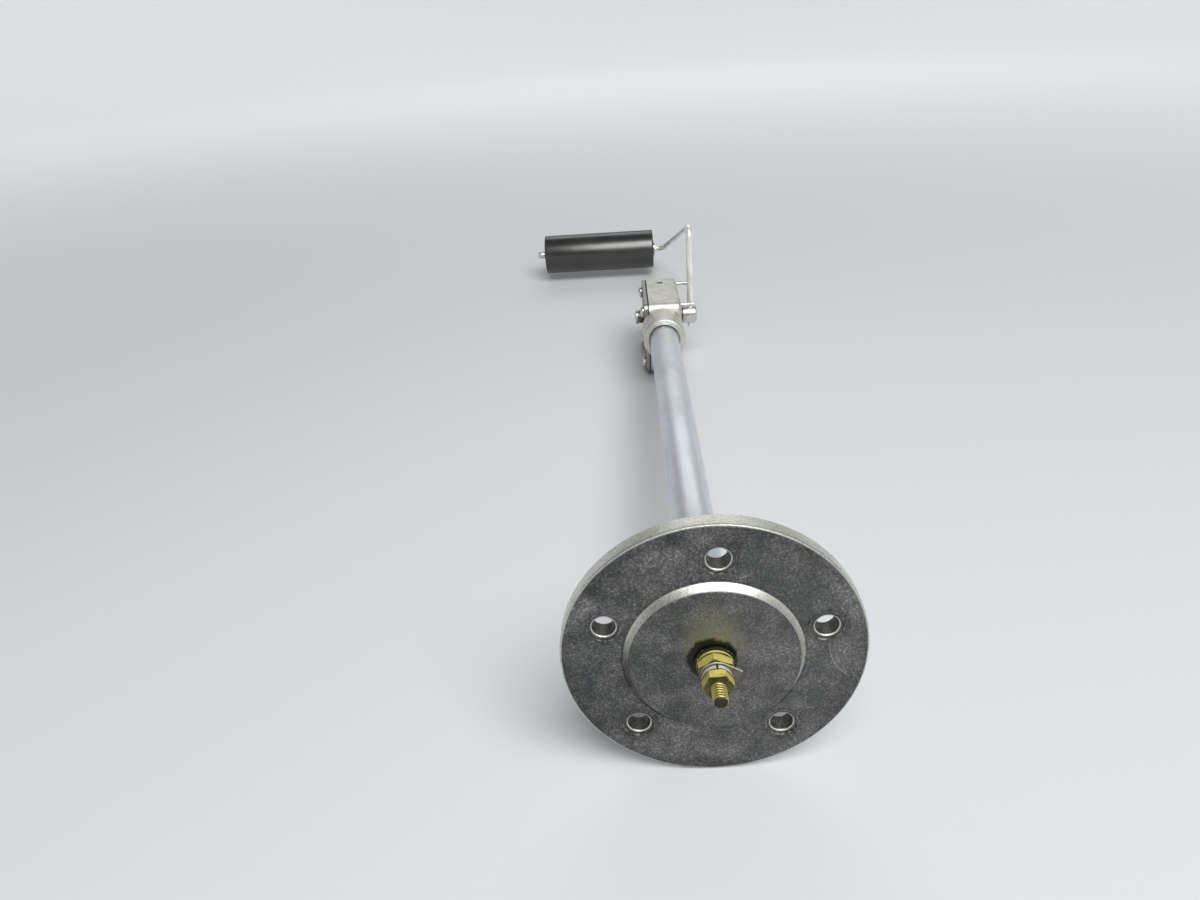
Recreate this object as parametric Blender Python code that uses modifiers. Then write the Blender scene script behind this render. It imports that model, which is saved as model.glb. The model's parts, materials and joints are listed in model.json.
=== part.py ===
"""Fuel level transmitter for an aircraft tank.

A five hole flange carries an insulated terminal and a straight stem. The stem ends in a die cast
sender head with a wound resistance element and a wiper. A wire arm with a cylinder float turns the
wiper. Run it with blender --background --python part.py, or from the text editor.

Metres. The origin is the centre of the flange's mounting face, +Y runs along the stem into the tank,
and +Z is the side of the head that the arm's short leg points to at rest.
"""

import math

import bmesh
import bpy
from mathutils import Matrix, Vector

MM = 0.001

# Fits
RUNNING_FIT = 0.15 * MM
SEAT_GAP = 0.1 * MM
CUT_MARGIN = 1.0 * MM

# Mounting flange
FLANGE_DIAMETER = 72.2 * MM
FLANGE_THICKNESS = 4.8 * MM
FLANGE_EDGE_ROUND = 0.7 * MM
BOLT_CIRCLE_DIAMETER = 54.0 * MM
BOLT_HOLE_DIAMETER = 5.3 * MM
BOLT_HOLE_CHAMFER = 0.35 * MM
SPOT_FACE_DIAMETER = 7.8 * MM
SPOT_FACE_DEPTH = 0.3 * MM
BOLT_ANGLES = (0.0, 71.5, 140.0, -140.0, -71.5)
FLANGE_CLOCKING = 2.5
BOSS_DIAMETER = 40.2 * MM
BOSS_HEIGHT = 2.2 * MM
BOSS_DRAFT = 0.9 * MM
BOSS_EDGE_ROUND = 0.5 * MM
SPIGOT_DIAMETER = 18.6 * MM
SPIGOT_LENGTH = 12.0 * MM
SPIGOT_FILLET = 2.0 * MM
SOCKET_FLOOR = 2.0 * MM

# Stem
STEM_DIAMETER = 12.7 * MM
STEM_WALL = 1.25 * MM

# Terminal
STUD_DIAMETER = 3.5 * MM
STUD_CHAMFER = 0.35 * MM
STUD_BEYOND_NUT = 4.9 * MM
STUD_BEYOND_INNER_NUT = 2.0 * MM
INSULATOR_WALL = 1.0 * MM
OUTER_INSULATOR_DIAMETER = 10.0 * MM
OUTER_INSULATOR_THICKNESS = 0.6 * MM
INNER_INSULATOR_DIAMETER = 9.2 * MM
INNER_INSULATOR_THICKNESS = 0.9 * MM
INSULATOR_SHANK = 2.8 * MM
FLAT_WASHER_DIAMETER = 8.8 * MM
FLAT_WASHER_THICKNESS = 0.7 * MM
LOCKNUT_FLATS = 7.9 * MM
LOCKNUT_THICKNESS = 2.5 * MM
LOCKNUT_TURN = 6.0
TAG_DIAMETER = 7.6 * MM
TAG_REACH = 5.9 * MM
TAG_END_WIDTH = 2.0 * MM
TAG_THICKNESS = 0.45 * MM
SPRING_WASHER_DIAMETER = 6.9 * MM
SPRING_WASHER_THICKNESS = 1.1 * MM
SPRING_WASHER_SPLIT = 0.5 * MM
SPRING_WASHER_TURN = 4.0
TERMINAL_NUT_FLATS = 6.35 * MM
TERMINAL_NUT_THICKNESS = 2.5 * MM
TERMINAL_NUT_TURN = 33.0
INNER_NUT_TURN = 15.0
NUT_CHAMFER_SHARE = 0.6
INNER_WASHER_DIAMETER = 7.4 * MM
INNER_WASHER_THICKNESS = 0.6 * MM

# Sender head
PIVOT_DISTANCE = 250.0 * MM
PIVOT_DROP = 1.2 * MM
HOUSING_LENGTH = 44.0 * MM
HOUSING_TOP = 11.6 * MM
HOUSING_BOTTOM = -22.7 * MM
HOUSING_RIGHT = 9.1 * MM
HOUSING_LEFT = -6.0 * MM
HOUSING_CORNER = 3.6 * MM
HOUSING_SIDE_ROUND = 2.0 * MM
HOUSING_WALL = 1.8 * MM
COLLAR_DIAMETER = 19.1 * MM
COLLAR_LENGTH = 16.6 * MM
COLLAR_RIM_ROUND = 0.8 * MM
COLLAR_MOUTH_CLEARANCE = 0.8 * MM
COLLAR_MOUTH_DEPTH = 2.0 * MM
COLLAR_FILLET = 1.4 * MM
STEM_STOP_FROM_FRONT = 2.0 * MM
WIRE_PASSAGE_DIAMETER = 7.0 * MM
VENT_DIAMETER = 3.4 * MM
VENT_BEHIND_PIVOT = 12.6 * MM
VENT_OFFSET = 0.7 * MM
COVER_SCREW_SPREAD = 31.6 * MM
COVER_SCREW_TOP = 6.4 * MM
COVER_SCREW_BOTTOM = -18.9 * MM
SCREW_POST_RADIUS = 3.5 * MM
CAVITY_DRAFT = 0.1 * MM
BEARING_BOSS_DIAMETER = 9.2 * MM
BEARING_BOSS_INNER = 1.5 * MM
BEARING_BOSS_OUTER = 0.5 * MM

# Cover
GASKET_THICKNESS = 0.4 * MM
COVER_THICKNESS = 1.6 * MM
COVER_SCREW_DIAMETER = 2.6 * MM
COVER_SCREW_LENGTH = 9.5 * MM
COVER_SCREW_HEAD_DIAMETER = 5.4 * MM
COVER_SCREW_HEAD_HEIGHT = 1.9 * MM
SCREW_SLOT_WIDTH = 0.7 * MM
SCREW_SLOT_DEPTH = 0.8 * MM
COVER_SCREW_TURNS = (20.0, 75.0, -35.0, 50.0)

# Pivot
SHAFT_DIAMETER = 4.0 * MM
BUSH_DIAMETER = 6.0 * MM
BUSH_FLANGE_DIAMETER = 7.6 * MM
BUSH_FLANGE_THICKNESS = 0.7 * MM
COVER_BUSH_HEAD_DIAMETER = 6.4 * MM
COVER_BUSH_PROJECTION = 2.3 * MM
COVER_BUSH_INNER = 2.0 * MM
HUB_DIAMETER = 8.8 * MM
HUB_LENGTH = 6.8 * MM
HUB_ROUND = 0.8 * MM
HUB_CLEARANCE = 0.3 * MM
WIRE_FROM_HUB_FACE = 4.1 * MM
END_RING_DIAMETER = 6.9 * MM
END_RING_THICKNESS = 1.5 * MM
SHAFT_PEEN = 0.3 * MM
CLAMP_SCREW_DIAMETER = 2.8 * MM
CLAMP_SCREW_CHAMFER = 0.3 * MM

# Stop pins
STOP_PIN_DIAMETER = 2.0 * MM
STOP_PIN_REACH = 15.4 * MM
STOP_PIN_DEPTH = 3.5 * MM
STOP_PIN_FROM_END = 4.5 * MM
STOP_PIN_ABOVE_PIVOT = 10.5 * MM
STOP_PIN_CHAMFER = 0.2 * MM

# Float arm and float
ARM_WIRE_DIAMETER = 3.2 * MM
ARM_TAIL = 1.5 * MM
ARM_SHORT_LEG = 42.7 * MM
ARM_REACH = 132.2 * MM
ARM_CRANK_BEND = 4.5 * MM
ARM_AXLE_BEND = 5.0 * MM
ARM_CORNER_X = 8.4 * MM
FLOAT_DIAMETER = 23.0 * MM
FLOAT_LENGTH = 67.0 * MM
FLOAT_RIGHT_END = 1.7 * MM
FLOAT_EDGE_ROUND = 0.8 * MM
FLOAT_BORE_CLEARANCE = 0.25 * MM
FLOAT_WASHER_DIAMETER = 8.6 * MM
FLOAT_WASHER_THICKNESS = 0.8 * MM
FLOAT_END_PLAY = 0.3 * MM
END_CAP_DIAMETER = 4.2 * MM
END_CAP_LENGTH = 4.6 * MM
END_CAP_CROWN = 0.8 * MM

# Resistance element and wiper
CARD_LENGTH = 26.0 * MM
CARD_HEIGHT = 7.2 * MM
CARD_THICKNESS = 1.2 * MM
CARD_CORNER = 0.6 * MM
CARD_BELOW_PIVOT = 5.4 * MM
CARD_PAD_HEIGHT = 0.8 * MM
CARD_SCREW_SPREAD = 22.8 * MM
CARD_SCREW_DIAMETER = 1.6 * MM
CARD_SCREW_HEAD_DIAMETER = 3.0 * MM
CARD_SCREW_HEAD_HEIGHT = 0.8 * MM
CARD_SCREW_GRIP = 1.8 * MM
WINDING_TURNS = 18
WINDING_PITCH = 1.0 * MM
WINDING_WIRE_DIAMETER = 0.5 * MM
WIPER_RADIUS = 10.0 * MM
WIPER_HUB_DIAMETER = 7.0 * MM
WIPER_HUB_LENGTH = 2.6 * MM
WIPER_THICKNESS = 0.35 * MM
WIPER_TIP_WIDTH = 2.6 * MM
CONTACT_DIAMETER = 1.8 * MM
CONTACT_HEIGHT = 0.6 * MM
CONTACT_CHAMFER = 0.2 * MM
CONTACT_GAP = 0.15 * MM
LEAD_DIAMETER = 1.6 * MM
LEAD_STRAIGHT_END = 4.0 * MM
LEAD_LOOP = 6.0 * MM
LEAD_ABOVE_CARD_MIDDLE = 0.6 * MM

# Where the sizes above put things
AXIS_OUT = Vector((0.0, -1.0, 0.0))
AXIS_IN = Vector((0.0, 1.0, 0.0))
AXIS_RIGHT = Vector((1.0, 0.0, 0.0))
AXIS_LEFT = Vector((-1.0, 0.0, 0.0))
AXIS_UP = Vector((0.0, 0.0, 1.0))
# Local X, Y and Z of an outline in the side plane become world Y, Z and X.
SIDE_PLANE = Matrix(((0.0, 0.0, 1.0), (1.0, 0.0, 0.0), (0.0, 1.0, 0.0)))

PIVOT = Vector((0.0, PIVOT_DISTANCE, -PIVOT_DROP))
FLOAT_CENTRE = Vector((FLOAT_RIGHT_END - FLOAT_LENGTH / 2, PIVOT.y + ARM_REACH, PIVOT.z))
BOSS_FACE = -FLANGE_THICKNESS - BOSS_HEIGHT
TERMINAL_BORE = STUD_DIAMETER / 2 + INSULATOR_WALL + 2 * RUNNING_FIT
HOUSING_FRONT = PIVOT.y - HOUSING_LENGTH / 2
HOUSING_BACK = PIVOT.y + HOUSING_LENGTH / 2
COLLAR_FRONT = HOUSING_FRONT - COLLAR_LENGTH
STEM_END = HOUSING_FRONT - STEM_STOP_FROM_FRONT
WALL_INSIDE = HOUSING_RIGHT - HOUSING_WALL
GASKET_FACE = HOUSING_LEFT - SEAT_GAP
COVER_INSIDE = GASKET_FACE - GASKET_THICKNESS - SEAT_GAP
COVER_FACE = COVER_INSIDE - COVER_THICKNESS
BUSH_FACE = HOUSING_RIGHT + BEARING_BOSS_OUTER + SEAT_GAP
HUB_FACE = BUSH_FACE + BUSH_FLANGE_THICKNESS + HUB_CLEARANCE
ARM_PLANE = HUB_FACE + WIRE_FROM_HUB_FACE
END_RING_FACE = COVER_FACE - SEAT_GAP - COVER_BUSH_PROJECTION - RUNNING_FIT
SHAFT_END = END_RING_FACE - END_RING_THICKNESS - SHAFT_PEEN
CARD_BACK = WALL_INSIDE - CARD_PAD_HEIGHT - SEAT_GAP
CARD_FACE = CARD_BACK - CARD_THICKNESS
CARD_MIDDLE = PIVOT.z - CARD_BELOW_PIVOT - CARD_HEIGHT / 2
WINDING_FACE = CARD_FACE - SEAT_GAP - WINDING_WIRE_DIAMETER
COVER_SCREW_PLACES = [
    (PIVOT.y + side * COVER_SCREW_SPREAD / 2, height)
    for side in (-1, 1)
    for height in (COVER_SCREW_TOP, COVER_SCREW_BOTTOM)
]

PAINTS = {
    "cast_flange": ((0.20, 0.20, 0.21), 0.5, 1.0),
    "aluminium_tube": ((0.62, 0.66, 0.72), 0.38, 1.0),
    "cast_head": ((0.60, 0.59, 0.55), 0.5, 1.0),
    "cover_plate": ((0.42, 0.42, 0.41), 0.45, 1.0),
    "bright_steel": ((0.72, 0.72, 0.70), 0.25, 1.0),
    "stainless_wire": ((0.74, 0.74, 0.73), 0.28, 1.0),
    "brass": ((0.62, 0.50, 0.20), 0.3, 1.0),
    "nickel_plate": ((0.66, 0.63, 0.58), 0.25, 1.0),
    "black_insulator": ((0.02, 0.02, 0.02), 0.5, 0.0),
    "gasket_fibre": ((0.08, 0.07, 0.06), 0.8, 0.0),
    "float_rubber": ((0.03, 0.03, 0.028), 0.45, 0.0),
    "card_fibre": ((0.42, 0.24, 0.10), 0.7, 0.0),
    "resistance_wire": ((0.45, 0.42, 0.38), 0.35, 1.0),
    "contact_silver": ((0.80, 0.79, 0.76), 0.25, 1.0),
    "lead_sleeve": ((0.75, 0.72, 0.62), 0.6, 0.0),
}


def clear_scene():
    for thing in list(bpy.data.objects):
        bpy.data.objects.remove(thing, do_unlink=True)


def new_collection(name):
    collection = bpy.data.collections.new(name)
    bpy.context.scene.collection.children.link(collection)
    return collection


def new_material(name):
    colour, roughness, metallic = PAINTS[name]
    material = bpy.data.materials.new(name)
    material.use_nodes = True
    shader = material.node_tree.nodes["Principled BSDF"]
    shader.inputs["Base Color"].default_value = (*colour, 1.0)
    shader.inputs["Roughness"].default_value = roughness
    shader.inputs["Metallic"].default_value = metallic
    material.diffuse_color = (*colour, 1.0)
    return material


class Workshop:
    """Keeps the two collections, the materials and the empty that new pieces hang on."""

    def __init__(self):
        clear_scene()
        self.parts = new_collection("fuel_level_transmitter")
        self.tools = new_collection("cutters")
        self.materials = {name: new_material(name) for name in PAINTS}
        self.carrier = None

    def carry_on(self, name, place):
        """Makes an empty on a joint's axis. Pieces made after this hang on it."""
        empty = bpy.data.objects.new(name, None)
        empty.empty_display_size = 10 * MM
        empty.location = place
        self.parts.objects.link(empty)
        self.carrier = empty

    def hang(self, piece):
        if self.carrier is not None:
            piece.parent = self.carrier
            piece.location = piece.location - self.carrier.location

    def add(self, piece, material):
        """Shows a piece as a node. Without a material it becomes a helper for a Boolean."""
        if material is None:
            self.tools.objects.link(piece)
            piece.hide_render = True
            piece.display_type = "WIRE"
        else:
            self.parts.objects.link(piece)
            piece.data.materials.append(self.materials[material])
        self.hang(piece)
        return piece


def smooth(mesh, sharp_from=math.radians(35)):
    mesh.shade_smooth()
    mesh.set_sharp_from_angle(angle=sharp_from)


def aim(piece, place, axis, turn=0.0):
    """Puts the piece's origin at place and its local Z along axis, after a turn about that Z."""
    swing = AXIS_UP.rotation_difference(axis).to_matrix()
    matrix = swing @ Matrix.Rotation(turn, 3, "Z")
    piece.location = place
    piece.rotation_euler = matrix.to_euler()


def arc(centre, radius, start, end, steps=3):
    """Points of a round corner in a profile or an outline, angles in degrees."""
    points = []
    for step in range(steps + 1):
        angle = math.radians(start + (end - start) * step / steps)
        points.append((centre[0] + radius * math.cos(angle), centre[1] + radius * math.sin(angle)))
    return points


def turned(shop, name, profile, material, place, axis, ring=False, steps=24, turn=0.0):
    """A turned piece. The profile runs down its outer side, and a ring's profile closes on itself."""
    mesh = bpy.data.meshes.new(name)
    count = len(profile)
    edges = [(i, i + 1) for i in range(count - 1)]
    if ring:
        edges.append((count - 1, 0))
    mesh.from_pydata([(radius, 0.0, height) for radius, height in profile], edges, [])
    piece = bpy.data.objects.new(name, mesh)
    screw = piece.modifiers.new("Turn", "SCREW")
    screw.steps = steps
    screw.render_steps = steps
    screw.use_merge_vertices = True
    screw.merge_threshold = 0.00001
    screw.use_smooth_shade = True
    aim(piece, place, axis, turn)
    return shop.add(piece, material)


def rod(shop, name, radius, length, material, place, axis, chamfer=0.0, steps=20):
    """A round bar from place along axis, with a chamfer at each end."""
    edge = [(radius - chamfer, length), (radius, length - chamfer)] if chamfer else [(radius, length)]
    foot = [(radius, chamfer), (radius - chamfer, 0.0)] if chamfer else [(radius, 0.0)]
    profile = [(0.0, length), *edge, *foot, (0.0, 0.0)]
    return turned(shop, name, profile, material, place, axis, steps=steps)


def washer(shop, name, outer, inner, thickness, material, place, axis, steps=28):
    profile = [(inner, thickness), (outer, thickness), (outer, 0.0), (inner, 0.0)]
    return turned(shop, name, profile, material, place, axis, ring=True, steps=steps)


def flanged_bush(shop, name, sizes, material, place, axis, steps=24):
    """A bush whose shank runs back from place and whose flange stands forward of it."""
    shank_radius, shank, flange_radius, flange, bore = sizes
    profile = [
        (bore, flange),
        (flange_radius, flange),
        (flange_radius, 0.0),
        (shank_radius, 0.0),
        (shank_radius, -shank),
        (bore, -shank),
    ]
    return turned(shop, name, profile, material, place, axis, ring=True, steps=steps)


def box(shop, name, low, high, material=None):
    mesh = bpy.data.meshes.new(name)
    shape = bmesh.new()
    bmesh.ops.create_cube(shape, size=1.0)
    size = Vector(high) - Vector(low)
    bmesh.ops.scale(shape, vec=size, verts=shape.verts)
    shape.to_mesh(mesh)
    shape.free()
    piece = bpy.data.objects.new(name, mesh)
    piece.location = (Vector(low) + Vector(high)) / 2
    return shop.add(piece, material)


def flat_plate(shop, name, outlines, thickness, material, place, matrix):
    """A plate cut to closed outlines, made a mesh so that it can be cut or joined."""
    curve = bpy.data.curves.new(name, "CURVE")
    curve.dimensions = "2D"
    curve.fill_mode = "BOTH"
    curve.extrude = thickness / 2
    for outline in outlines:
        spline = curve.splines.new("POLY")
        spline.points.add(len(outline) - 1)
        for point, (x, y) in zip(spline.points, outline):
            point.co = (x, y, 0.0, 1.0)
        spline.use_cyclic_u = True
    return shop.add(as_mesh(curve, name, place, matrix.to_euler()), material)


def as_mesh(curve, name, place, turn):
    """Turns a curve into a welded mesh object at the same place."""
    source = bpy.data.objects.new(name + "_curve", curve)
    source.location = place
    source.rotation_euler = turn
    bpy.context.scene.collection.objects.link(source)
    bpy.context.view_layer.update()
    graph = bpy.context.evaluated_depsgraph_get()
    mesh = bpy.data.meshes.new_from_object(source.evaluated_get(graph))
    placed = source.matrix_world.copy()
    bpy.data.objects.remove(source, do_unlink=True)
    shape = bmesh.new()
    shape.from_mesh(mesh)
    bmesh.ops.remove_doubles(shape, verts=shape.verts, dist=0.000001)
    bmesh.ops.recalc_face_normals(shape, faces=shape.faces)
    shape.to_mesh(mesh)
    shape.free()
    smooth(mesh)
    piece = bpy.data.objects.new(name, mesh)
    piece.matrix_world = placed
    return piece


def wire(shop, name, points, radius, material, resolution=2):
    """A round wire with closed ends through the points, which are world places."""
    curve = bpy.data.curves.new(name, "CURVE")
    curve.dimensions = "3D"
    curve.bevel_depth = radius
    curve.bevel_resolution = resolution
    curve.use_fill_caps = True
    spline = curve.splines.new("POLY")
    spline.points.add(len(points) - 1)
    spline.use_smooth = True
    for point, place in zip(spline.points, points):
        point.co = (*place, 1.0)
    return shop.add(as_mesh(curve, name, (0.0, 0.0, 0.0), (0.0, 0.0, 0.0)), material)


def combine(piece, tool, operation):
    step = piece.modifiers.new(tool.name, "BOOLEAN")
    step.operation = operation
    step.solver = "EXACT"
    step.object = tool


def cut(piece, *tools):
    for tool in tools:
        combine(piece, tool, "DIFFERENCE")


def join(piece, *tools):
    for tool in tools:
        combine(piece, tool, "UNION")


def keep_common(piece, *tools):
    for tool in tools:
        combine(piece, tool, "INTERSECT")


def hex_nut(shop, name, flats, thickness, bore, material, place, turn):
    """A nut on the terminal's axis, its corners turned off at both faces."""
    corner = flats / math.sqrt(3)
    reach = flats / 2
    mesh = bpy.data.meshes.new(name)
    shape = bmesh.new()
    bmesh.ops.create_cone(
        shape,
        cap_ends=True,
        cap_tris=False,
        segments=6,
        radius1=corner,
        radius2=corner,
        depth=thickness,
    )
    bmesh.ops.translate(shape, vec=(0.0, 0.0, thickness / 2), verts=shape.verts)
    shape.to_mesh(mesh)
    shape.free()
    nut = bpy.data.objects.new(name, mesh)
    aim(nut, place, AXIS_OUT, turn)
    shop.add(nut, material)
    chamfer = (corner - reach) * NUT_CHAMFER_SHARE
    profile = [
        (0.0, thickness),
        (reach, thickness),
        (corner, thickness - chamfer),
        (corner, chamfer),
        (reach, 0.0),
        (0.0, 0.0),
    ]
    rim = turned(shop, name + "_rim", profile, None, place, AXIS_OUT, steps=24)
    hole_start = place - AXIS_OUT * CUT_MARGIN
    hole = rod(shop, name + "_hole", bore, thickness + 2 * CUT_MARGIN, None, hole_start, AXIS_OUT)
    keep_common(nut, rim)
    cut(nut, hole)


def rounded_outline(low, high, radius, steps=4):
    """A rectangle with round corners, as points in order."""
    left, bottom = low
    right, top = high
    points = []
    for cx, cy, start in (
        (right - radius, top - radius, 0),
        (left + radius, top - radius, 90),
        (left + radius, bottom + radius, 180),
        (right - radius, bottom + radius, 270),
    ):
        points += arc((cx, cy), radius, start, start + 90, steps)
    return points


def circle_outline(centre, radius, steps=20):
    return arc(centre, radius, 0, 360 - 360 / steps, steps - 1)


def make_flange(shop):
    radius = FLANGE_DIAMETER / 2
    front = -FLANGE_THICKNESS
    edge = FLANGE_EDGE_ROUND
    spigot = SPIGOT_DIAMETER / 2
    socket = STEM_DIAMETER / 2 + RUNNING_FIT
    base = BOSS_DIAMETER / 2 + BOSS_DRAFT
    top = BOSS_DIAMETER / 2
    rim = BOSS_EDGE_ROUND
    profile = [
        (socket, SPIGOT_LENGTH),
        (spigot - edge, SPIGOT_LENGTH),
        (spigot, SPIGOT_LENGTH - edge),
        *arc((spigot + SPIGOT_FILLET, SPIGOT_FILLET), SPIGOT_FILLET, 180, 270),
        *arc((radius - edge, -edge), edge, 90, 0, 2),
        *arc((radius - edge, front + edge), edge, 0, -90, 2),
        (base + rim, front),
        (base, front - rim / 2),
        (top, BOSS_FACE + rim),
        (top - rim * 0.4, BOSS_FACE + rim * 0.3),
        (top - rim, BOSS_FACE),
        (TERMINAL_BORE, BOSS_FACE),
        (TERMINAL_BORE, SOCKET_FLOOR),
        (socket, SOCKET_FLOOR),
    ]
    flange = turned(
        shop, "mounting_flange", profile, "cast_flange", Vector(), AXIS_IN, ring=True, steps=64
    )
    hole = BOLT_HOLE_DIAMETER / 2
    spot = SPOT_FACE_DIAMETER / 2
    floor = front + SPOT_FACE_DEPTH
    hole_profile = [
        (0.0, CUT_MARGIN),
        (hole, CUT_MARGIN),
        (hole, floor + BOLT_HOLE_CHAMFER),
        (hole + BOLT_HOLE_CHAMFER, floor),
        (spot, floor),
        (spot, front - CUT_MARGIN),
        (0.0, front - CUT_MARGIN),
    ]
    for number, degrees in enumerate(BOLT_ANGLES, 1):
        angle = math.radians(degrees + FLANGE_CLOCKING)
        reach = BOLT_CIRCLE_DIAMETER / 2
        place = Vector((reach * math.sin(angle), 0.0, reach * math.cos(angle)))
        tool = turned(shop, f"bolt_hole_{number}", hole_profile, None, place, AXIS_IN, steps=20)
        cut(flange, tool)


def make_stem(shop):
    outer = STEM_DIAMETER / 2
    start = SOCKET_FLOOR + SEAT_GAP
    washer(
        shop,
        "stem_tube",
        outer,
        outer - STEM_WALL,
        STEM_END - SEAT_GAP - start,
        "aluminium_tube",
        Vector((0.0, start, 0.0)),
        AXIS_IN,
        steps=48,
    )


def make_insulators(shop):
    stud = STUD_DIAMETER / 2 + RUNNING_FIT
    shank = stud + INSULATOR_WALL
    flanged_bush(
        shop,
        "terminal_outer_insulator",
        (shank, INSULATOR_SHANK, OUTER_INSULATOR_DIAMETER / 2, OUTER_INSULATOR_THICKNESS, stud),
        "black_insulator",
        Vector((0.0, BOSS_FACE - SEAT_GAP, 0.0)),
        AXIS_OUT,
    )
    flanged_bush(
        shop,
        "terminal_inner_insulator",
        (shank, INSULATOR_SHANK, INNER_INSULATOR_DIAMETER / 2, INNER_INSULATOR_THICKNESS, stud),
        "black_insulator",
        Vector((0.0, SOCKET_FLOOR + SEAT_GAP, 0.0)),
        AXIS_IN,
    )


def make_tag(shop, face, bore):
    """The tag washer: a disc that tapers into a short tab on the right."""
    radius = TAG_DIAMETER / 2
    half_end = TAG_END_WIDTH / 2
    distance = math.hypot(TAG_REACH, half_end)
    tangent = math.degrees(math.acos(radius / distance) + math.atan2(half_end, TAG_REACH))
    outline = arc((0.0, 0.0), radius, tangent, 360 - tangent, 24)
    outline += [(TAG_REACH, -half_end), (TAG_REACH, half_end)]
    flat_plate(
        shop,
        "terminal_tag",
        [outline, circle_outline((0.0, 0.0), bore)],
        TAG_THICKNESS,
        "nickel_plate",
        Vector((0.0, face - TAG_THICKNESS / 2, 0.0)),
        AXIS_UP.rotation_difference(AXIS_OUT).to_matrix(),
    )


def make_spring_washer(shop, face, bore):
    ring = washer(
        shop,
        "terminal_spring_washer",
        SPRING_WASHER_DIAMETER / 2,
        bore,
        SPRING_WASHER_THICKNESS,
        "nickel_plate",
        Vector((0.0, face, 0.0)),
        AXIS_OUT,
        steps=32,
    )
    half = SPRING_WASHER_SPLIT / 2
    split = box(
        shop,
        "spring_washer_split",
        (-half, face - SPRING_WASHER_THICKNESS - CUT_MARGIN, 0.0),
        (half, face + CUT_MARGIN, SPRING_WASHER_DIAMETER),
    )
    split.rotation_euler = (0.0, 0.0, math.radians(SPRING_WASHER_TURN))
    cut(ring, split)


def make_terminal(shop):
    """The stack on the stud, from the flange's boss outwards and from its socket inwards."""
    bore = STUD_DIAMETER / 2 + RUNNING_FIT
    face = BOSS_FACE - 2 * SEAT_GAP - OUTER_INSULATOR_THICKNESS
    washer(
        shop,
        "terminal_flat_washer",
        FLAT_WASHER_DIAMETER / 2,
        bore,
        FLAT_WASHER_THICKNESS,
        "brass",
        Vector((0.0, face, 0.0)),
        AXIS_OUT,
    )
    face -= FLAT_WASHER_THICKNESS + SEAT_GAP
    hex_nut(
        shop,
        "stud_locknut",
        LOCKNUT_FLATS,
        LOCKNUT_THICKNESS,
        bore,
        "brass",
        Vector((0.0, face, 0.0)),
        math.radians(LOCKNUT_TURN),
    )
    face -= LOCKNUT_THICKNESS + SEAT_GAP
    make_tag(shop, face, bore)
    face -= TAG_THICKNESS + SEAT_GAP
    make_spring_washer(shop, face, bore)
    face -= SPRING_WASHER_THICKNESS + SEAT_GAP
    hex_nut(
        shop,
        "terminal_nut",
        TERMINAL_NUT_FLATS,
        TERMINAL_NUT_THICKNESS,
        bore,
        "brass",
        Vector((0.0, face, 0.0)),
        math.radians(TERMINAL_NUT_TURN),
    )
    outer_end = face - TERMINAL_NUT_THICKNESS - STUD_BEYOND_NUT
    face = SOCKET_FLOOR + 2 * SEAT_GAP + INNER_INSULATOR_THICKNESS
    washer(
        shop,
        "inner_stud_washer",
        INNER_WASHER_DIAMETER / 2,
        bore,
        INNER_WASHER_THICKNESS,
        "brass",
        Vector((0.0, face, 0.0)),
        AXIS_IN,
    )
    face += INNER_WASHER_THICKNESS + SEAT_GAP + TERMINAL_NUT_THICKNESS
    hex_nut(
        shop,
        "inner_stud_nut",
        TERMINAL_NUT_FLATS,
        TERMINAL_NUT_THICKNESS,
        bore,
        "brass",
        Vector((0.0, face, 0.0)),
        math.radians(INNER_NUT_TURN),
    )
    inner_end = face + STUD_BEYOND_INNER_NUT
    rod(
        shop,
        "terminal_stud",
        STUD_DIAMETER / 2,
        inner_end - outer_end,
        "brass",
        Vector((0.0, outer_end, 0.0)),
        AXIS_IN,
        chamfer=STUD_CHAMFER,
    )
    return inner_end


def make_lead(shop, start):
    """The insulated lead, from the stud's inner end along the stem to the end of the card."""
    head_front = HOUSING_FRONT
    card_end = PIVOT.y - CARD_LENGTH / 2
    end_x = CARD_FACE - LEAD_DIAMETER / 2 - RUNNING_FIT
    knots = [
        Vector((0.0, start + SEAT_GAP, 0.0)),
        Vector((0.0, start + (head_front - start) * 0.5, 0.0)),
        Vector((0.0, head_front - LEAD_STRAIGHT_END, 0.0)),
        Vector((end_x * 0.2, head_front + LEAD_LOOP / 6, -LEAD_LOOP / 6)),
        Vector((end_x * 0.7, head_front + LEAD_LOOP, CARD_MIDDLE + LEAD_LOOP * 2 / 3)),
        Vector((end_x, card_end, CARD_MIDDLE + LEAD_ABOVE_CARD_MIDDLE)),
    ]
    points = knots[:3]
    for before, first, last, after in zip(knots[1:-2], knots[2:-1], knots[3:], knots[4:] + knots[-1:]):
        for step in range(1, 5):
            points.append(smooth_point(before, first, last, after, step / 4))
    wire(shop, "lead_wire", points, LEAD_DIAMETER / 2, "lead_sleeve", resolution=2)


def smooth_point(before, first, last, after, share):
    """A point between first and last on the curve that runs smoothly through all four."""
    a = 2 * first
    b = last - before
    c = 2 * before - 5 * first + 4 * last - after
    d = 3 * first - before - 3 * last + after
    return (a + b * share + c * share**2 + d * share**3) / 2


def select_edges(shape, test):
    return [edge for edge in shape.edges if test(*(vert.co for vert in edge.verts))]


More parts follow.
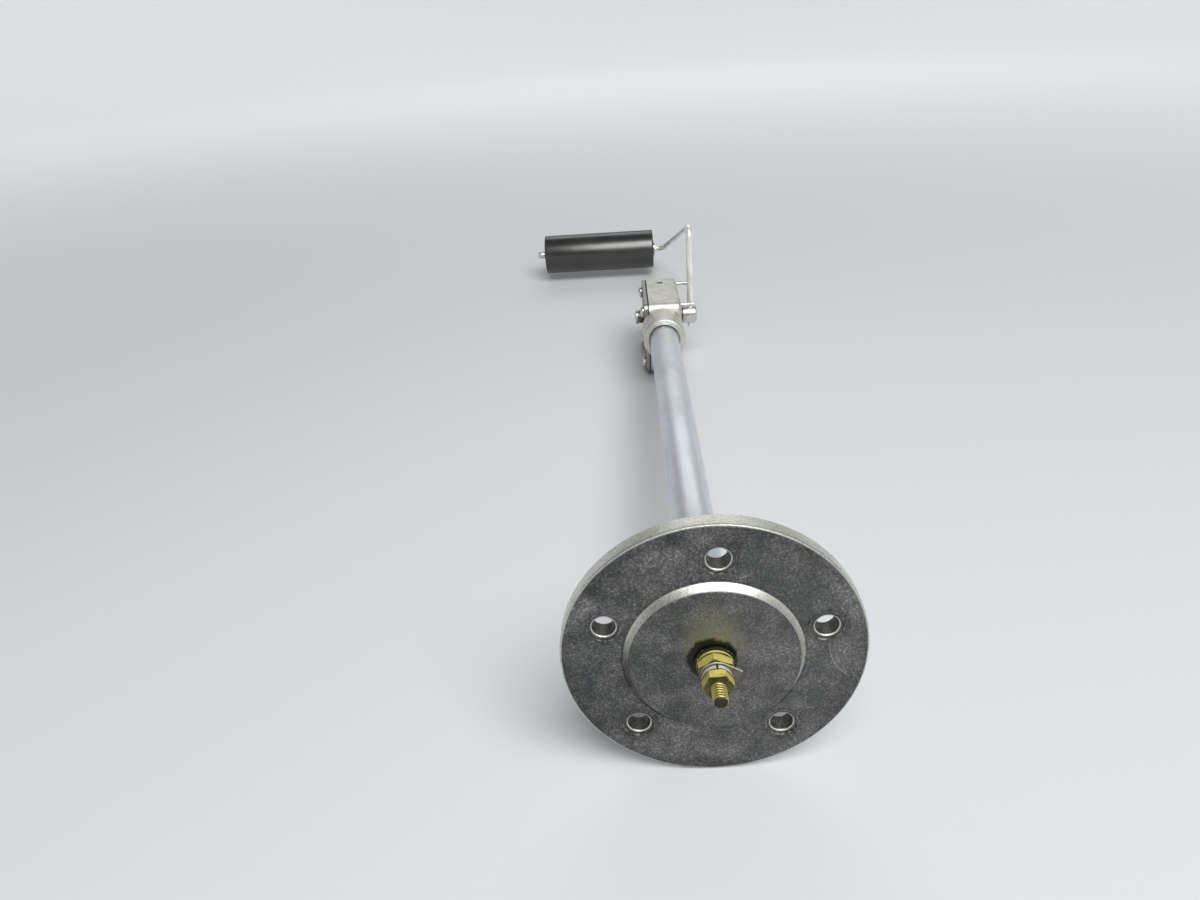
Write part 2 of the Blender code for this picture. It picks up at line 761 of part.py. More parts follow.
def housing_shell(shop):
    """The box of the head: its four long edges round, and the edge round its closed right side."""
    low = Vector((HOUSING_LEFT, HOUSING_FRONT, HOUSING_BOTTOM))
    high = Vector((HOUSING_RIGHT, HOUSING_BACK, HOUSING_TOP))
    middle = (low + high) / 2
    shape = bmesh.new()
    bmesh.ops.create_cube(shape, size=1.0)
    bmesh.ops.scale(shape, vec=high - low, verts=shape.verts)
    right = (high.x - low.x) / 2
    along = select_edges(shape, lambda a, b: abs(a.x - b.x) > right)
    bmesh.ops.bevel(
        shape, geom=along, offset=HOUSING_CORNER, segments=4, profile=0.5, affect="EDGES"
    )
    tiny = SEAT_GAP / 100
    rim = select_edges(shape, lambda a, b: abs(a.x - right) < tiny and abs(b.x - right) < tiny)
    bmesh.ops.bevel(
        shape, geom=rim, offset=HOUSING_SIDE_ROUND, segments=3, profile=0.5, affect="EDGES"
    )
    mesh = bpy.data.meshes.new("sender_housing")
    shape.to_mesh(mesh)
    shape.free()
    smooth(mesh)
    piece = bpy.data.objects.new("sender_housing", mesh)
    piece.location = middle
    return shop.add(piece, "cast_head")


def cavity_outline():
    """The inside of the head from the side: a rectangle whose corners go round the screw posts."""
    front = HOUSING_FRONT + HOUSING_WALL
    back = HOUSING_BACK - HOUSING_WALL
    top = HOUSING_TOP - HOUSING_WALL
    bottom = HOUSING_BOTTOM + HOUSING_WALL
    half = COVER_SCREW_SPREAD / 2
    points = []
    for side, height, start in (
        (1, COVER_SCREW_TOP, 270),
        (-1, COVER_SCREW_TOP, 360),
        (-1, COVER_SCREW_BOTTOM, 90),
        (1, COVER_SCREW_BOTTOM, 180),
    ):
        wall_y = back if side > 0 else front
        wall_z = top if height > 0 else bottom
        turn = arc((PIVOT.y + side * half, height), SCREW_POST_RADIUS, start, start - 90, 4)
        up = math.copysign(CAVITY_DRAFT, height)
        back_out = side * CAVITY_DRAFT
        if start % 180 == 90:
            beside = (wall_y, turn[0][1] + up)
            over = (turn[-1][0] + back_out, wall_z)
            points += [beside, *turn, over]
        else:
            beside = (wall_y, turn[-1][1] + up)
            over = (turn[0][0] + back_out, wall_z)
            points += [over, *turn, beside]
    return points


def merge_flat_faces(piece):
    """Makes each flat side one face, so that a cut across it leaves no slivers."""
    shape = bmesh.new()
    shape.from_mesh(piece.data)
    bmesh.ops.dissolve_limit(
        shape, angle_limit=math.radians(0.5), verts=shape.verts, edges=shape.edges
    )
    shape.to_mesh(piece.data)
    shape.free()


def side_plate(shop, name, outlines, low, high, material):
    """A plate in the side plane, between two places along X."""
    place = Vector(((low + high) / 2, 0.0, 0.0))
    return flat_plate(shop, name, outlines, high - low, material, place, SIDE_PLANE)


def make_collar(shop, housing):
    """The round collar that the stem enters, faired into the front of the box above and below."""
    radius = COLLAR_DIAMETER / 2
    rim = COLLAR_RIM_ROUND
    fillet = COLLAR_FILLET
    place = Vector((0.0, COLLAR_FRONT, 0.0))
    run_out = HOUSING_FRONT - COLLAR_FRONT
    profile = [
        (0.0, run_out + HOUSING_WALL / 2),
        (radius - 2 * HOUSING_WALL, run_out + HOUSING_WALL / 2),
        (radius, run_out + HOUSING_WALL / 3),
        *arc((radius - rim, rim), rim, 0, -90),
        (0.0, 0.0),
    ]
    collar = turned(shop, "collar_body", profile, None, place, AXIS_IN, steps=40)
    relief = box(
        shop,
        "cover_relief",
        (-COLLAR_DIAMETER, HOUSING_FRONT - SEAT_GAP, -COLLAR_DIAMETER),
        (HOUSING_LEFT, HOUSING_FRONT + 2 * HOUSING_WALL, COLLAR_DIAMETER),
    )
    cut(collar, relief)
    flare_profile = [
        (0.0, run_out + HOUSING_WALL / 2),
        (radius + fillet, run_out + HOUSING_WALL / 2),
        *arc((radius + fillet, run_out - fillet), fillet, 90, 180, 4),
        (radius - rim, run_out - fillet - rim),
        (0.0, run_out - fillet - rim),
    ]
    flare = turned(shop, "collar_flare", flare_profile, None, place, AXIS_IN, steps=40)
    inset = HOUSING_SIDE_ROUND / 2
    slab = box(
        shop,
        "collar_flare_width",
        (HOUSING_LEFT, COLLAR_FRONT, HOUSING_BOTTOM + HOUSING_CORNER),
        (HOUSING_RIGHT - inset, HOUSING_FRONT + HOUSING_WALL, HOUSING_TOP - HOUSING_CORNER),
    )
    keep_common(flare, slab)
    join(housing, collar, flare)


def make_housing(shop):
    housing = housing_shell(shop)
    make_collar(shop, housing)
    boss_radius = BEARING_BOSS_DIAMETER / 2
    boss = rod(
        shop,
        "bearing_boss",
        boss_radius,
        HOUSING_WALL / 2 + BEARING_BOSS_OUTER,
        None,
        Vector((WALL_INSIDE + HOUSING_WALL / 2, PIVOT.y, PIVOT.z)),
        AXIS_RIGHT,
        steps=32,
    )
    join(housing, boss)
    cavity = side_plate(
        shop, "head_cavity", [cavity_outline()], HOUSING_LEFT - CUT_MARGIN, WALL_INSIDE, None
    )
    merge_flat_faces(cavity)
    inner_boss = rod(
        shop,
        "bearing_boss_inside",
        boss_radius,
        BEARING_BOSS_INNER + CUT_MARGIN,
        None,
        Vector((WALL_INSIDE - BEARING_BOSS_INNER, PIVOT.y, PIVOT.z)),
        AXIS_RIGHT,
        steps=28,
    )
    cut(cavity, inner_boss)
    for name, side in (("front", -1), ("back", 1)):
        place = Vector((CARD_BACK + SEAT_GAP, PIVOT.y + side * CARD_SCREW_SPREAD / 2, CARD_MIDDLE))
        pad = rod(
            shop,
            f"card_pad_{name}",
            CARD_SCREW_HEAD_DIAMETER / 2,
            CARD_PAD_HEIGHT + CUT_MARGIN,
            None,
            place,
            AXIS_RIGHT,
        )
        cut(cavity, pad)
    cut(housing, cavity)
    cut_bores(shop, housing)
    cut_screw_holes(shop, housing)


def cut_bores(shop, housing):
    """The stem's bore, wider at its mouth, the wire passage behind it, the bearing and the vent."""
    bore = STEM_DIAMETER / 2 + RUNNING_FIT
    mouth = STEM_DIAMETER / 2 + COLLAR_MOUTH_CLEARANCE
    passage = WIRE_PASSAGE_DIAMETER / 2
    depth = STEM_END - COLLAR_FRONT
    through = HOUSING_FRONT + HOUSING_WALL + CUT_MARGIN - COLLAR_FRONT
    stem_profile = [
        (0.0, through),
        (passage, through),
        (passage, depth),
        (bore, depth),
        (bore, COLLAR_MOUTH_DEPTH),
        (mouth, COLLAR_MOUTH_DEPTH),
        (mouth, -CUT_MARGIN),
        (0.0, -CUT_MARGIN),
    ]
    place = Vector((0.0, COLLAR_FRONT, 0.0))
    stem_bore = turned(shop, "stem_bore", stem_profile, None, place, AXIS_IN, steps=40)
    bearing = rod(
        shop,
        "bearing_bore",
        BUSH_DIAMETER / 2 + RUNNING_FIT,
        BEARING_BOSS_INNER + HOUSING_WALL + BEARING_BOSS_OUTER + 2 * CUT_MARGIN,
        None,
        Vector((WALL_INSIDE - BEARING_BOSS_INNER - CUT_MARGIN, PIVOT.y, PIVOT.z)),
        AXIS_RIGHT,
        steps=28,
    )
    vent_floor = HOUSING_TOP - HOUSING_WALL - CUT_MARGIN
    vent = rod(
        shop,
        "vent_hole",
        VENT_DIAMETER / 2,
        HOUSING_WALL + 2 * CUT_MARGIN,
        None,
        Vector((VENT_OFFSET, PIVOT.y + VENT_BEHIND_PIVOT, vent_floor)),
        AXIS_UP,
        steps=24,
    )
    cut(housing, stem_bore, bearing, vent)


def cut_screw_holes(shop, housing):
    """Blind holes for the cover screws, the card screws and the stop pins."""
    depth = COVER_SCREW_LENGTH - (HOUSING_LEFT - COVER_FACE) + RUNNING_FIT * 2
    for number, (y, z) in enumerate(COVER_SCREW_PLACES, 1):
        hole = rod(
            shop,
            f"cover_screw_hole_{number}",
            COVER_SCREW_DIAMETER / 2 + RUNNING_FIT,
            depth + CUT_MARGIN,
            None,
            Vector((HOUSING_LEFT - CUT_MARGIN, y, z)),
            AXIS_RIGHT,
            steps=16,
        )
        cut(housing, hole)
    for name, side in (("front", -1), ("back", 1)):
        hole = rod(
            shop,
            f"card_screw_hole_{name}",
            CARD_SCREW_DIAMETER / 2 + RUNNING_FIT,
            CARD_SCREW_GRIP + SEAT_GAP + RUNNING_FIT + CUT_MARGIN,
            None,
            Vector((CARD_BACK - CUT_MARGIN, PIVOT.y + side * CARD_SCREW_SPREAD / 2, CARD_MIDDLE)),
            AXIS_RIGHT,
            steps=12,
        )
        cut(housing, hole)
        pin_hole = rod(
            shop,
            f"stop_pin_hole_{name}",
            STOP_PIN_DIAMETER / 2 + RUNNING_FIT,
            STOP_PIN_DEPTH + RUNNING_FIT + CUT_MARGIN,
            None,
            Vector((HOUSING_RIGHT + CUT_MARGIN, *stop_pin_place(side))),
            AXIS_LEFT,
            steps=16,
        )
        cut(housing, pin_hole)


def stop_pin_place(side):
    reach = HOUSING_LENGTH / 2 - STOP_PIN_FROM_END
    return PIVOT.y + side * reach, PIVOT.z + STOP_PIN_ABOVE_PIVOT


def make_stop_pins(shop):
    for name, side in (("front", -1), ("back", 1)):
        start = HOUSING_RIGHT - STOP_PIN_DEPTH
        rod(
            shop,
            f"stop_pin_{name}",
            STOP_PIN_DIAMETER / 2,
            STOP_PIN_REACH - start,
            "bright_steel",
            Vector((start, *stop_pin_place(side))),
            AXIS_RIGHT,
            chamfer=STOP_PIN_CHAMFER,
            steps=20,
        )


def head_outline(inset):
    return rounded_outline(
        (HOUSING_FRONT + inset, HOUSING_BOTTOM + inset),
        (HOUSING_BACK - inset, HOUSING_TOP - inset),
        HOUSING_CORNER - inset,
    )


def make_cover(shop):
    hole = COVER_SCREW_DIAMETER / 2 + RUNNING_FIT
    screw_circles = [circle_outline(place, hole, 16) for place in COVER_SCREW_PLACES]
    side_plate(
        shop,
        "cover_gasket",
        [head_outline(SEAT_GAP), cavity_outline(), *screw_circles],
        GASKET_FACE - GASKET_THICKNESS,
        GASKET_FACE,
        "gasket_fibre",
    )
    shaft_circle = circle_outline((PIVOT.y, PIVOT.z), BUSH_DIAMETER / 2 + RUNNING_FIT, 28)
    side_plate(
        shop,
        "housing_cover",
        [head_outline(0.0), shaft_circle, *screw_circles],
        COVER_FACE,
        COVER_INSIDE,
        "cover_plate",
    )


def make_cover_screws(shop):
    head = COVER_SCREW_HEAD_DIAMETER / 2
    height = COVER_SCREW_HEAD_HEIGHT
    shank = COVER_SCREW_DIAMETER / 2
    profile = [
        (0.0, height),
        (head * 0.45, height * 0.95),
        (head * 0.8, height * 0.75),
        (head, height * 0.4),
        (head, 0.0),
        (shank, 0.0),
        (shank, -COVER_SCREW_LENGTH + shank / 2),
        (shank / 2, -COVER_SCREW_LENGTH),
        (0.0, -COVER_SCREW_LENGTH),
    ]
    for number, ((y, z), degrees) in enumerate(zip(COVER_SCREW_PLACES, COVER_SCREW_TURNS), 1):
        place = Vector((COVER_FACE - SEAT_GAP, y, z))
        screw = turned(
            shop, f"cover_screw_{number}", profile, "bright_steel", place, AXIS_LEFT, steps=16
        )
        half = SCREW_SLOT_WIDTH / 2
        slot = box(
            shop,
            f"cover_screw_slot_{number}",
            (-CUT_MARGIN, -head - CUT_MARGIN, -half),
            (CUT_MARGIN, head + CUT_MARGIN, half),
        )
        outer = place.x - height
        slot.location = Vector((outer + SCREW_SLOT_DEPTH - CUT_MARGIN, y, z))
        slot.rotation_euler = (math.radians(degrees), 0.0, 0.0)
        cut(screw, slot)


def make_bushes(shop):
    bore = SHAFT_DIAMETER / 2 + RUNNING_FIT
    flanged_bush(
        shop,
        "housing_bush",
        (
            BUSH_DIAMETER / 2,
            BEARING_BOSS_INNER + HOUSING_WALL + BEARING_BOSS_OUTER,
            BUSH_FLANGE_DIAMETER / 2,
            BUSH_FLANGE_THICKNESS,
            bore,
        ),
        "brass",
        Vector((BUSH_FACE, PIVOT.y, PIVOT.z)),
        AXIS_RIGHT,
    )
    flanged_bush(
        shop,
        "cover_bush",
        (
            BUSH_DIAMETER / 2,
            COVER_THICKNESS + COVER_BUSH_INNER,
            COVER_BUSH_HEAD_DIAMETER / 2,
            COVER_BUSH_PROJECTION,
            bore,
        ),
        "brass",
        Vector((COVER_FACE - SEAT_GAP, PIVOT.y, PIVOT.z)),
        AXIS_LEFT,
    )


def make_shaft(shop):
    """The shaft and the arm hub, turned from one bar and drilled across for the wire."""
    hub = HUB_DIAMETER / 2
    shaft = SHAFT_DIAMETER / 2
    hub_end = HUB_FACE + HUB_LENGTH
    length = hub_end - SHAFT_END
    step = HUB_FACE - SHAFT_END
    edge = HUB_ROUND
    profile = [
        (0.0, length),
        *arc((hub - edge, length - edge), edge, 90, 0),
        (hub, step + edge / 2),
        (hub - edge / 2, step),
        (shaft, step),
        (shaft, SHAFT_PEEN),
        (shaft - SHAFT_PEEN, 0.0),
        (0.0, 0.0),
    ]
    place = Vector((SHAFT_END, PIVOT.y, PIVOT.z))
    piece = turned(shop, "pivot_shaft", profile, "bright_steel", place, AXIS_RIGHT, steps=28)
    wire_hole = rod(
        shop,
        "arm_wire_hole",
        ARM_WIRE_DIAMETER / 2 + RUNNING_FIT,
        2 * (hub + CUT_MARGIN),
        None,
        Vector((ARM_PLANE, PIVOT.y, PIVOT.z - hub - CUT_MARGIN)),
        AXIS_UP,
    )
    clamp_start = PIVOT.y + ARM_WIRE_DIAMETER / 2 + RUNNING_FIT
    clamp_hole = rod(
        shop,
        "clamp_screw_hole",
        CLAMP_SCREW_DIAMETER / 2 + RUNNING_FIT,
        hub + CUT_MARGIN,
        None,
        Vector((ARM_PLANE, PIVOT.y, PIVOT.z)),
        AXIS_IN,
        steps=16,
    )
    cut(piece, wire_hole, clamp_hole)
    screw_length = PIVOT.y + hub - SEAT_GAP - clamp_start
    screw = rod(
        shop,
        "arm_clamp_screw",
        CLAMP_SCREW_DIAMETER / 2,
        screw_length,
        "bright_steel",
        Vector((ARM_PLANE, clamp_start, PIVOT.z)),
        AXIS_IN,
        chamfer=CLAMP_SCREW_CHAMFER,
        steps=20,
    )
    half = SCREW_SLOT_WIDTH / 2
    outer = clamp_start + screw_length
    slot = box(
        shop,
        "clamp_screw_slot",
        (ARM_PLANE - CLAMP_SCREW_DIAMETER, outer - SCREW_SLOT_DEPTH, PIVOT.z - half),
        (ARM_PLANE + CLAMP_SCREW_DIAMETER, outer + CUT_MARGIN, PIVOT.z + half),
    )
    cut(screw, slot)
    washer(
        shop,
        "shaft_end_ring",
        END_RING_DIAMETER / 2,
        shaft + SEAT_GAP,
        END_RING_THICKNESS,
        "bright_steel",
        Vector((END_RING_FACE, PIVOT.y, PIVOT.z)),
        AXIS_LEFT,
        steps=32,
    )


def bend(before, corner, after, radius, steps=7):
    """Points of a round bend at a corner between two straight runs."""
    first = (before - corner).normalized()
    last = (after - corner).normalized()
    half = first.angle(last) / 2
    centre = corner + (first + last).normalized() * radius / math.sin(half)
    start = corner + first * radius / math.tan(half) - centre
    end = corner + last * radius / math.tan(half) - centre
    whole = start.angle(end)
    points = []
    for step in range(steps + 1):
        share = step / steps
        a = math.sin((1 - share) * whole) / math.sin(whole)
        b = math.sin(share * whole) / math.sin(whole)
        points.append(centre + start * a + end * b)
    return points


def make_arm_wire(shop):
    """One bent wire: up from the hub, back and down to the float, then left as the float's axle."""
    tail = Vector((ARM_PLANE, PIVOT.y, PIVOT.z - HUB_DIAMETER / 2 - ARM_TAIL))
    crank = Vector((ARM_PLANE, PIVOT.y, PIVOT.z + ARM_SHORT_LEG))
    corner = Vector((ARM_CORNER_X, PIVOT.y + ARM_REACH, PIVOT.z))
    end = Vector((axle_end(), corner.y, corner.z))
    points = [
        tail,
        *bend(tail, crank, corner, ARM_CRANK_BEND),
        *bend(crank, corner, end, ARM_AXLE_BEND),
        end,
    ]
    wire(shop, "float_arm_wire", points, ARM_WIRE_DIAMETER / 2, "stainless_wire", resolution=4)


def axle_end():
    left = FLOAT_RIGHT_END - FLOAT_LENGTH - FLOAT_END_PLAY
    return left - END_CAP_LENGTH + END_CAP_CROWN + SEAT_GAP


def make_wiper(shop):
    """The wiper: a hub on the shaft, a spring blade down to the card, and the contact on its tip."""
    shaft = SHAFT_DIAMETER / 2
    blade_face = WINDING_FACE - CONTACT_GAP - CONTACT_HEIGHT - SEAT_GAP - WIPER_THICKNESS
    hub_start = blade_face - SEAT_GAP - WIPER_HUB_LENGTH
    washer(
        shop,
        "wiper_hub",
        WIPER_HUB_DIAMETER / 2,
        shaft + SEAT_GAP,
        WIPER_HUB_LENGTH,
        "black_insulator",
        Vector((hub_start, PIVOT.y, PIVOT.z)),
        AXIS_RIGHT,
        steps=28,
    )
    ring = WIPER_HUB_DIAMETER / 2
    half_tip = WIPER_TIP_WIDTH / 2
    tip = PIVOT.z - WIPER_RADIUS
    shoulder = -90 + math.degrees(math.asin(half_tip / ring)) + 12
    outline = arc((PIVOT.y, PIVOT.z), ring, shoulder, 180 - shoulder, 20)
    outline += arc((PIVOT.y, tip), half_tip, 180, 360, 8)
    place = Vector((blade_face + WIPER_THICKNESS / 2, 0.0, 0.0))
    bore = circle_outline((PIVOT.y, PIVOT.z), shaft + RUNNING_FIT, 20)
    flat_plate(
        shop, "wiper_blade", [outline, bore], WIPER_THICKNESS, "brass", place, SIDE_PLANE
    )
    rod(
        shop,
        "wiper_contact",
        CONTACT_DIAMETER / 2,
        CONTACT_HEIGHT,
        "contact_silver",
        Vector((blade_face + WIPER_THICKNESS + SEAT_GAP, PIVOT.y, tip)),
        AXIS_RIGHT,
        chamfer=CONTACT_CHAMFER,
        steps=16,
    )


def make_card(shop):
    half_length = CARD_LENGTH / 2
    half_height = CARD_HEIGHT / 2
    outline = rounded_outline(
        (PIVOT.y - half_length, CARD_MIDDLE - half_height),
        (PIVOT.y + half_length, CARD_MIDDLE + half_height),
        CARD_CORNER,
        2,
    )
    ends = [PIVOT.y + side * CARD_SCREW_SPREAD / 2 for side in (-1, 1)]
    hole = CARD_SCREW_DIAMETER / 2 + RUNNING_FIT
    holes = [circle_outline((y, CARD_MIDDLE), hole, 12) for y in ends]
    side_plate(shop, "element_card", [outline, *holes], CARD_FACE, CARD_BACK, "card_fibre")
    head = CARD_SCREW_HEAD_DIAMETER / 2
    shank = CARD_SCREW_DIAMETER / 2
    reach = CARD_THICKNESS + SEAT_GAP + CARD_SCREW_GRIP
    profile = [
        (0.0, CARD_SCREW_HEAD_HEIGHT),
        (head * 0.7, CARD_SCREW_HEAD_HEIGHT),
        (head, CARD_SCREW_HEAD_HEIGHT * 0.4),
        (head, 0.0),
        (shank, 0.0),
        (shank, -reach),
        (0.0, -reach),
    ]
    for name, y in zip(("front", "back"), ends):
        place = Vector((CARD_FACE - SEAT_GAP, y, CARD_MIDDLE))
        turned(
            shop, f"card_screw_{name}", profile, "bright_steel", place, AXIS_LEFT, steps=16
        )


def make_winding(shop):
    """The resistance wire: turns side by side round the card, each a rectangle with cut corners."""
    radius = WINDING_WIRE_DIAMETER / 2
    reach_x = CARD_THICKNESS / 2 + SEAT_GAP + radius
    reach_z = CARD_HEIGHT / 2 + SEAT_GAP + radius
    corner = radius
    loop = [
        (reach_x, -reach_z + corner),
        (reach_x, reach_z - corner),
        (reach_x - corner, reach_z),
        (-reach_x + corner, reach_z),
        (-reach_x, reach_z - corner),
        (-reach_x, -reach_z + corner),
        (-reach_x + corner, -reach_z),
        (reach_x - corner, -reach_z),
    ]
    middle_x = (CARD_FACE + CARD_BACK) / 2
    start = PIVOT.y - WINDING_TURNS * WINDING_PITCH / 2
    points = []
    for step in range(WINDING_TURNS * len(loop)):
        x, z = loop[step % len(loop)]
        along = WINDING_PITCH * step / len(loop)
        points.append(Vector((middle_x + x, start + along, CARD_MIDDLE + z)))
    wire(shop, "resistance_winding", points, radius, "resistance_wire", resolution=0)


def make_float(shop):
    radius = FLOAT_DIAMETER / 2
    bore = ARM_WIRE_DIAMETER / 2 + FLOAT_BORE_CLEARANCE
    edge = FLOAT_EDGE_ROUND
    half = FLOAT_LENGTH / 2
    profile = [
        (bore, half),
        *arc((radius - edge, half - edge), edge, 90, 0),
        *arc((radius - edge, edge - half), edge, 0, -90),
        (bore, -half),
    ]
    turned(
        shop,
        "float",
        profile,
        "float_rubber",
        FLOAT_CENTRE,
        AXIS_RIGHT,
        ring=True,
        steps=40,
    )


def make_float_keepers(shop):
    """The washer at the float's right end and the cap pushed on the axle's left end."""
    wire_radius = ARM_WIRE_DIAMETER / 2
    washer(
        shop,
        "float_washer",
        FLOAT_WASHER_DIAMETER / 2,
        wire_radius + RUNNING_FIT,
        FLOAT_WASHER_THICKNESS,
        "bright_steel",
        Vector((FLOAT_RIGHT_END + FLOAT_END_PLAY, FLOAT_CENTRE.y, FLOAT_CENTRE.z)),
        AXIS_RIGHT,
        steps=28,
    )
    cap = END_CAP_DIAMETER / 2
    bore = wire_radius + RUNNING_FIT
    profile = [
        (0.0, END_CAP_LENGTH),
        (cap * 0.6, END_CAP_LENGTH),
        (cap, END_CAP_LENGTH - END_CAP_CROWN),
        (cap, 0.0),
        (bore, 0.0),
        (bore, END_CAP_LENGTH - END_CAP_CROWN),
        (0.0, END_CAP_LENGTH - END_CAP_CROWN),
    ]
    turned(
        shop,
        "float_end_cap",
        profile,
        "bright_steel",
        Vector((FLOAT_RIGHT_END - FLOAT_LENGTH - FLOAT_END_PLAY, FLOAT_CENTRE.y, FLOAT_CENTRE.z)),
        AXIS_LEFT,
        steps=24,
    )


def main():
    shop = Workshop()
    make_flange(shop)
    make_stem(shop)
    make_insulators(shop)
    stud_end = make_terminal(shop)
    make_lead(shop, stud_end)
    make_housing(shop)
    make_stop_pins(shop)
    make_cover(shop)
    make_cover_screws(shop)
    make_bushes(shop)
    make_card(shop)
    make_winding(shop)
    shop.carry_on("arm_pivot", PIVOT)
    make_shaft(shop)
    make_arm_wire(shop)
    make_wiper(shop)
    make_float_keepers(shop)
    shop.carry_on("float_axle", FLOAT_CENTRE)
    make_float(shop)


if __name__ == "__main__":
    main()
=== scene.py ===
"""Looks for the fuel level transmitter, laid out as a Blender add-on and run as a script.

The packed model is the fixed frame. Its solids keep their shapes and get soft edges and finishes here,
and the terminal stud gets its thread. The stage is a pale sweep under plain soft lamps, and its floor
goes down where the arm swings below it.

Metres, in the frame's own axes: +Y runs along the stem into the tank, and the origin is the centre of
the flange's mounting face.
"""

import json
import math

import bmesh
import bpy
from bpy.props import (
    FloatProperty,
    FloatVectorProperty,
    IntProperty,
    PointerProperty,
)
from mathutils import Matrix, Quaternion, Vector

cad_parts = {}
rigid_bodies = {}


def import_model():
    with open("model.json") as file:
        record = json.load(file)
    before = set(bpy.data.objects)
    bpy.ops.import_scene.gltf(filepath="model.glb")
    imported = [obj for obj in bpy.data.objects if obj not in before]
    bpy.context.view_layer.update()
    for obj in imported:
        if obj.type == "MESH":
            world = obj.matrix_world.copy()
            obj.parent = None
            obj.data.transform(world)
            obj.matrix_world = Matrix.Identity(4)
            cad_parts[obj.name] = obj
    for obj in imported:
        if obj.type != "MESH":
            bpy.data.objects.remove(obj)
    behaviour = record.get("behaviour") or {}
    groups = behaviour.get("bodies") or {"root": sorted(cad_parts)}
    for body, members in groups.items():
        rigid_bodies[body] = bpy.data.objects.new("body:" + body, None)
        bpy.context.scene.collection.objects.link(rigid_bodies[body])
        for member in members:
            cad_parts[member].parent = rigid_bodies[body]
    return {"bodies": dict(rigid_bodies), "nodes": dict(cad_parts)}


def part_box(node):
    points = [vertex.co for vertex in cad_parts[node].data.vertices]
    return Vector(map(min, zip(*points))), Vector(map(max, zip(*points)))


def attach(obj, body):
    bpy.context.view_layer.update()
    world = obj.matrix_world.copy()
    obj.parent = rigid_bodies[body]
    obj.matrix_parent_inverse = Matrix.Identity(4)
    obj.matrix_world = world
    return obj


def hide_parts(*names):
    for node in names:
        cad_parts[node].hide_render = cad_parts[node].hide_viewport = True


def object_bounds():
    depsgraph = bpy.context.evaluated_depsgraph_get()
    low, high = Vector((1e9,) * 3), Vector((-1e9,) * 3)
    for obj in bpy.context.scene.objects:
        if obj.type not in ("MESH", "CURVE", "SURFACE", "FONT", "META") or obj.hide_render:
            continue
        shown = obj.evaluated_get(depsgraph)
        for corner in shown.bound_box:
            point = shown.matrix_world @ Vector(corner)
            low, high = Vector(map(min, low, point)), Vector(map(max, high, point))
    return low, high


bl_info = {
    "name": "Fuel level transmitter looks",
    "version": (1, 0, 0),
    "blender": (4, 5, 0),
    "location": "View3D > Sidebar > Transmitter",
    "description": "Dresses the packed fuel level transmitter and sets its stage",
    "category": "Object",
}

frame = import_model()
for startup_thing in list(bpy.data.objects):
    if startup_thing not in [*frame["nodes"].values(), *frame["bodies"].values()]:
        bpy.data.objects.remove(startup_thing, do_unlink=True)
CAD_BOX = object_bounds()

MM = 0.001

# What the finishes need to know of the shape, read from the frame
FLANGE_LOW, FLANGE_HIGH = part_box("mounting_flange")
FLANGE_RADIUS = (FLANGE_HIGH.x - FLANGE_LOW.x) / 2
INSULATOR_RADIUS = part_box("terminal_outer_insulator")[1].x
STUD_LOW, STUD_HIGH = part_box("terminal_stud")
STUD_RADIUS = (STUD_HIGH.x - STUD_LOW.x) / 2

# The flange's flat front ring round the boss, and its five holes in degrees from the top
FRONT_FACE = -4.8 * MM
BOLT_ANGLES = (2.5, 74.0, 142.5, -137.5, -69.0)

# The scribed arc by the right hole: the centre of its circle, across and up, and the stretch that shows
SCRIBE_CENTRE = (39.0 * MM, 2.5 * MM)
SCRIBE_MIDDLE = -2.4 * MM
SCRIBE_HALF_LENGTH = 5.1 * MM

# Sides of the round floor, and the steps and angle of the sweep at its edge
FLOOR_SIDES = 96
SWEEP_STEPS = 8
SWEEP_ANGLE = math.radians(80)

# Pieces that can swing below the floor
LOW_PIECES = ("float", "float_end_cap", "float_arm_wire")

# Edges that bend by more than this stay sharp. The wire has none, so its limit is wider.
SHARP_DEGREES = 32
WIRE_SHARP_DEGREES = 60

# Widths of the soft edges
FINE_EDGE = 0.05 * MM
TURNED_EDGE = 0.06 * MM
FLANGE_EDGE = 0.08 * MM
SOFT_EDGE = 0.1 * MM
COVER_EDGE = 0.12 * MM
FLOAT_EDGE = 0.15 * MM


def colour(name, description, default):
    return FloatVectorProperty(
        name=name,
        description=description,
        subtype="COLOR",
        size=3,
        min=0.0,
        max=1.0,
        default=default,
    )


def length(name, description, default):
    return FloatProperty(
        name=name,
        description=description,
        unit="LENGTH",
        precision=5,
        min=0.0,
        default=default,
    )


def share(name, description, default):
    return FloatProperty(
        name=name,
        description=description,
        subtype="FACTOR",
        min=0.0,
        max=1.0,
        default=default,
    )


def place(name, description, default):
    return FloatVectorProperty(
        name=name,
        description=description,
        subtype="XYZ",
        unit="LENGTH",
        size=3,
        default=default,
    )


def power(name, description, default):
    return FloatProperty(name=name, description=description, unit="POWER", min=0.0, default=default)


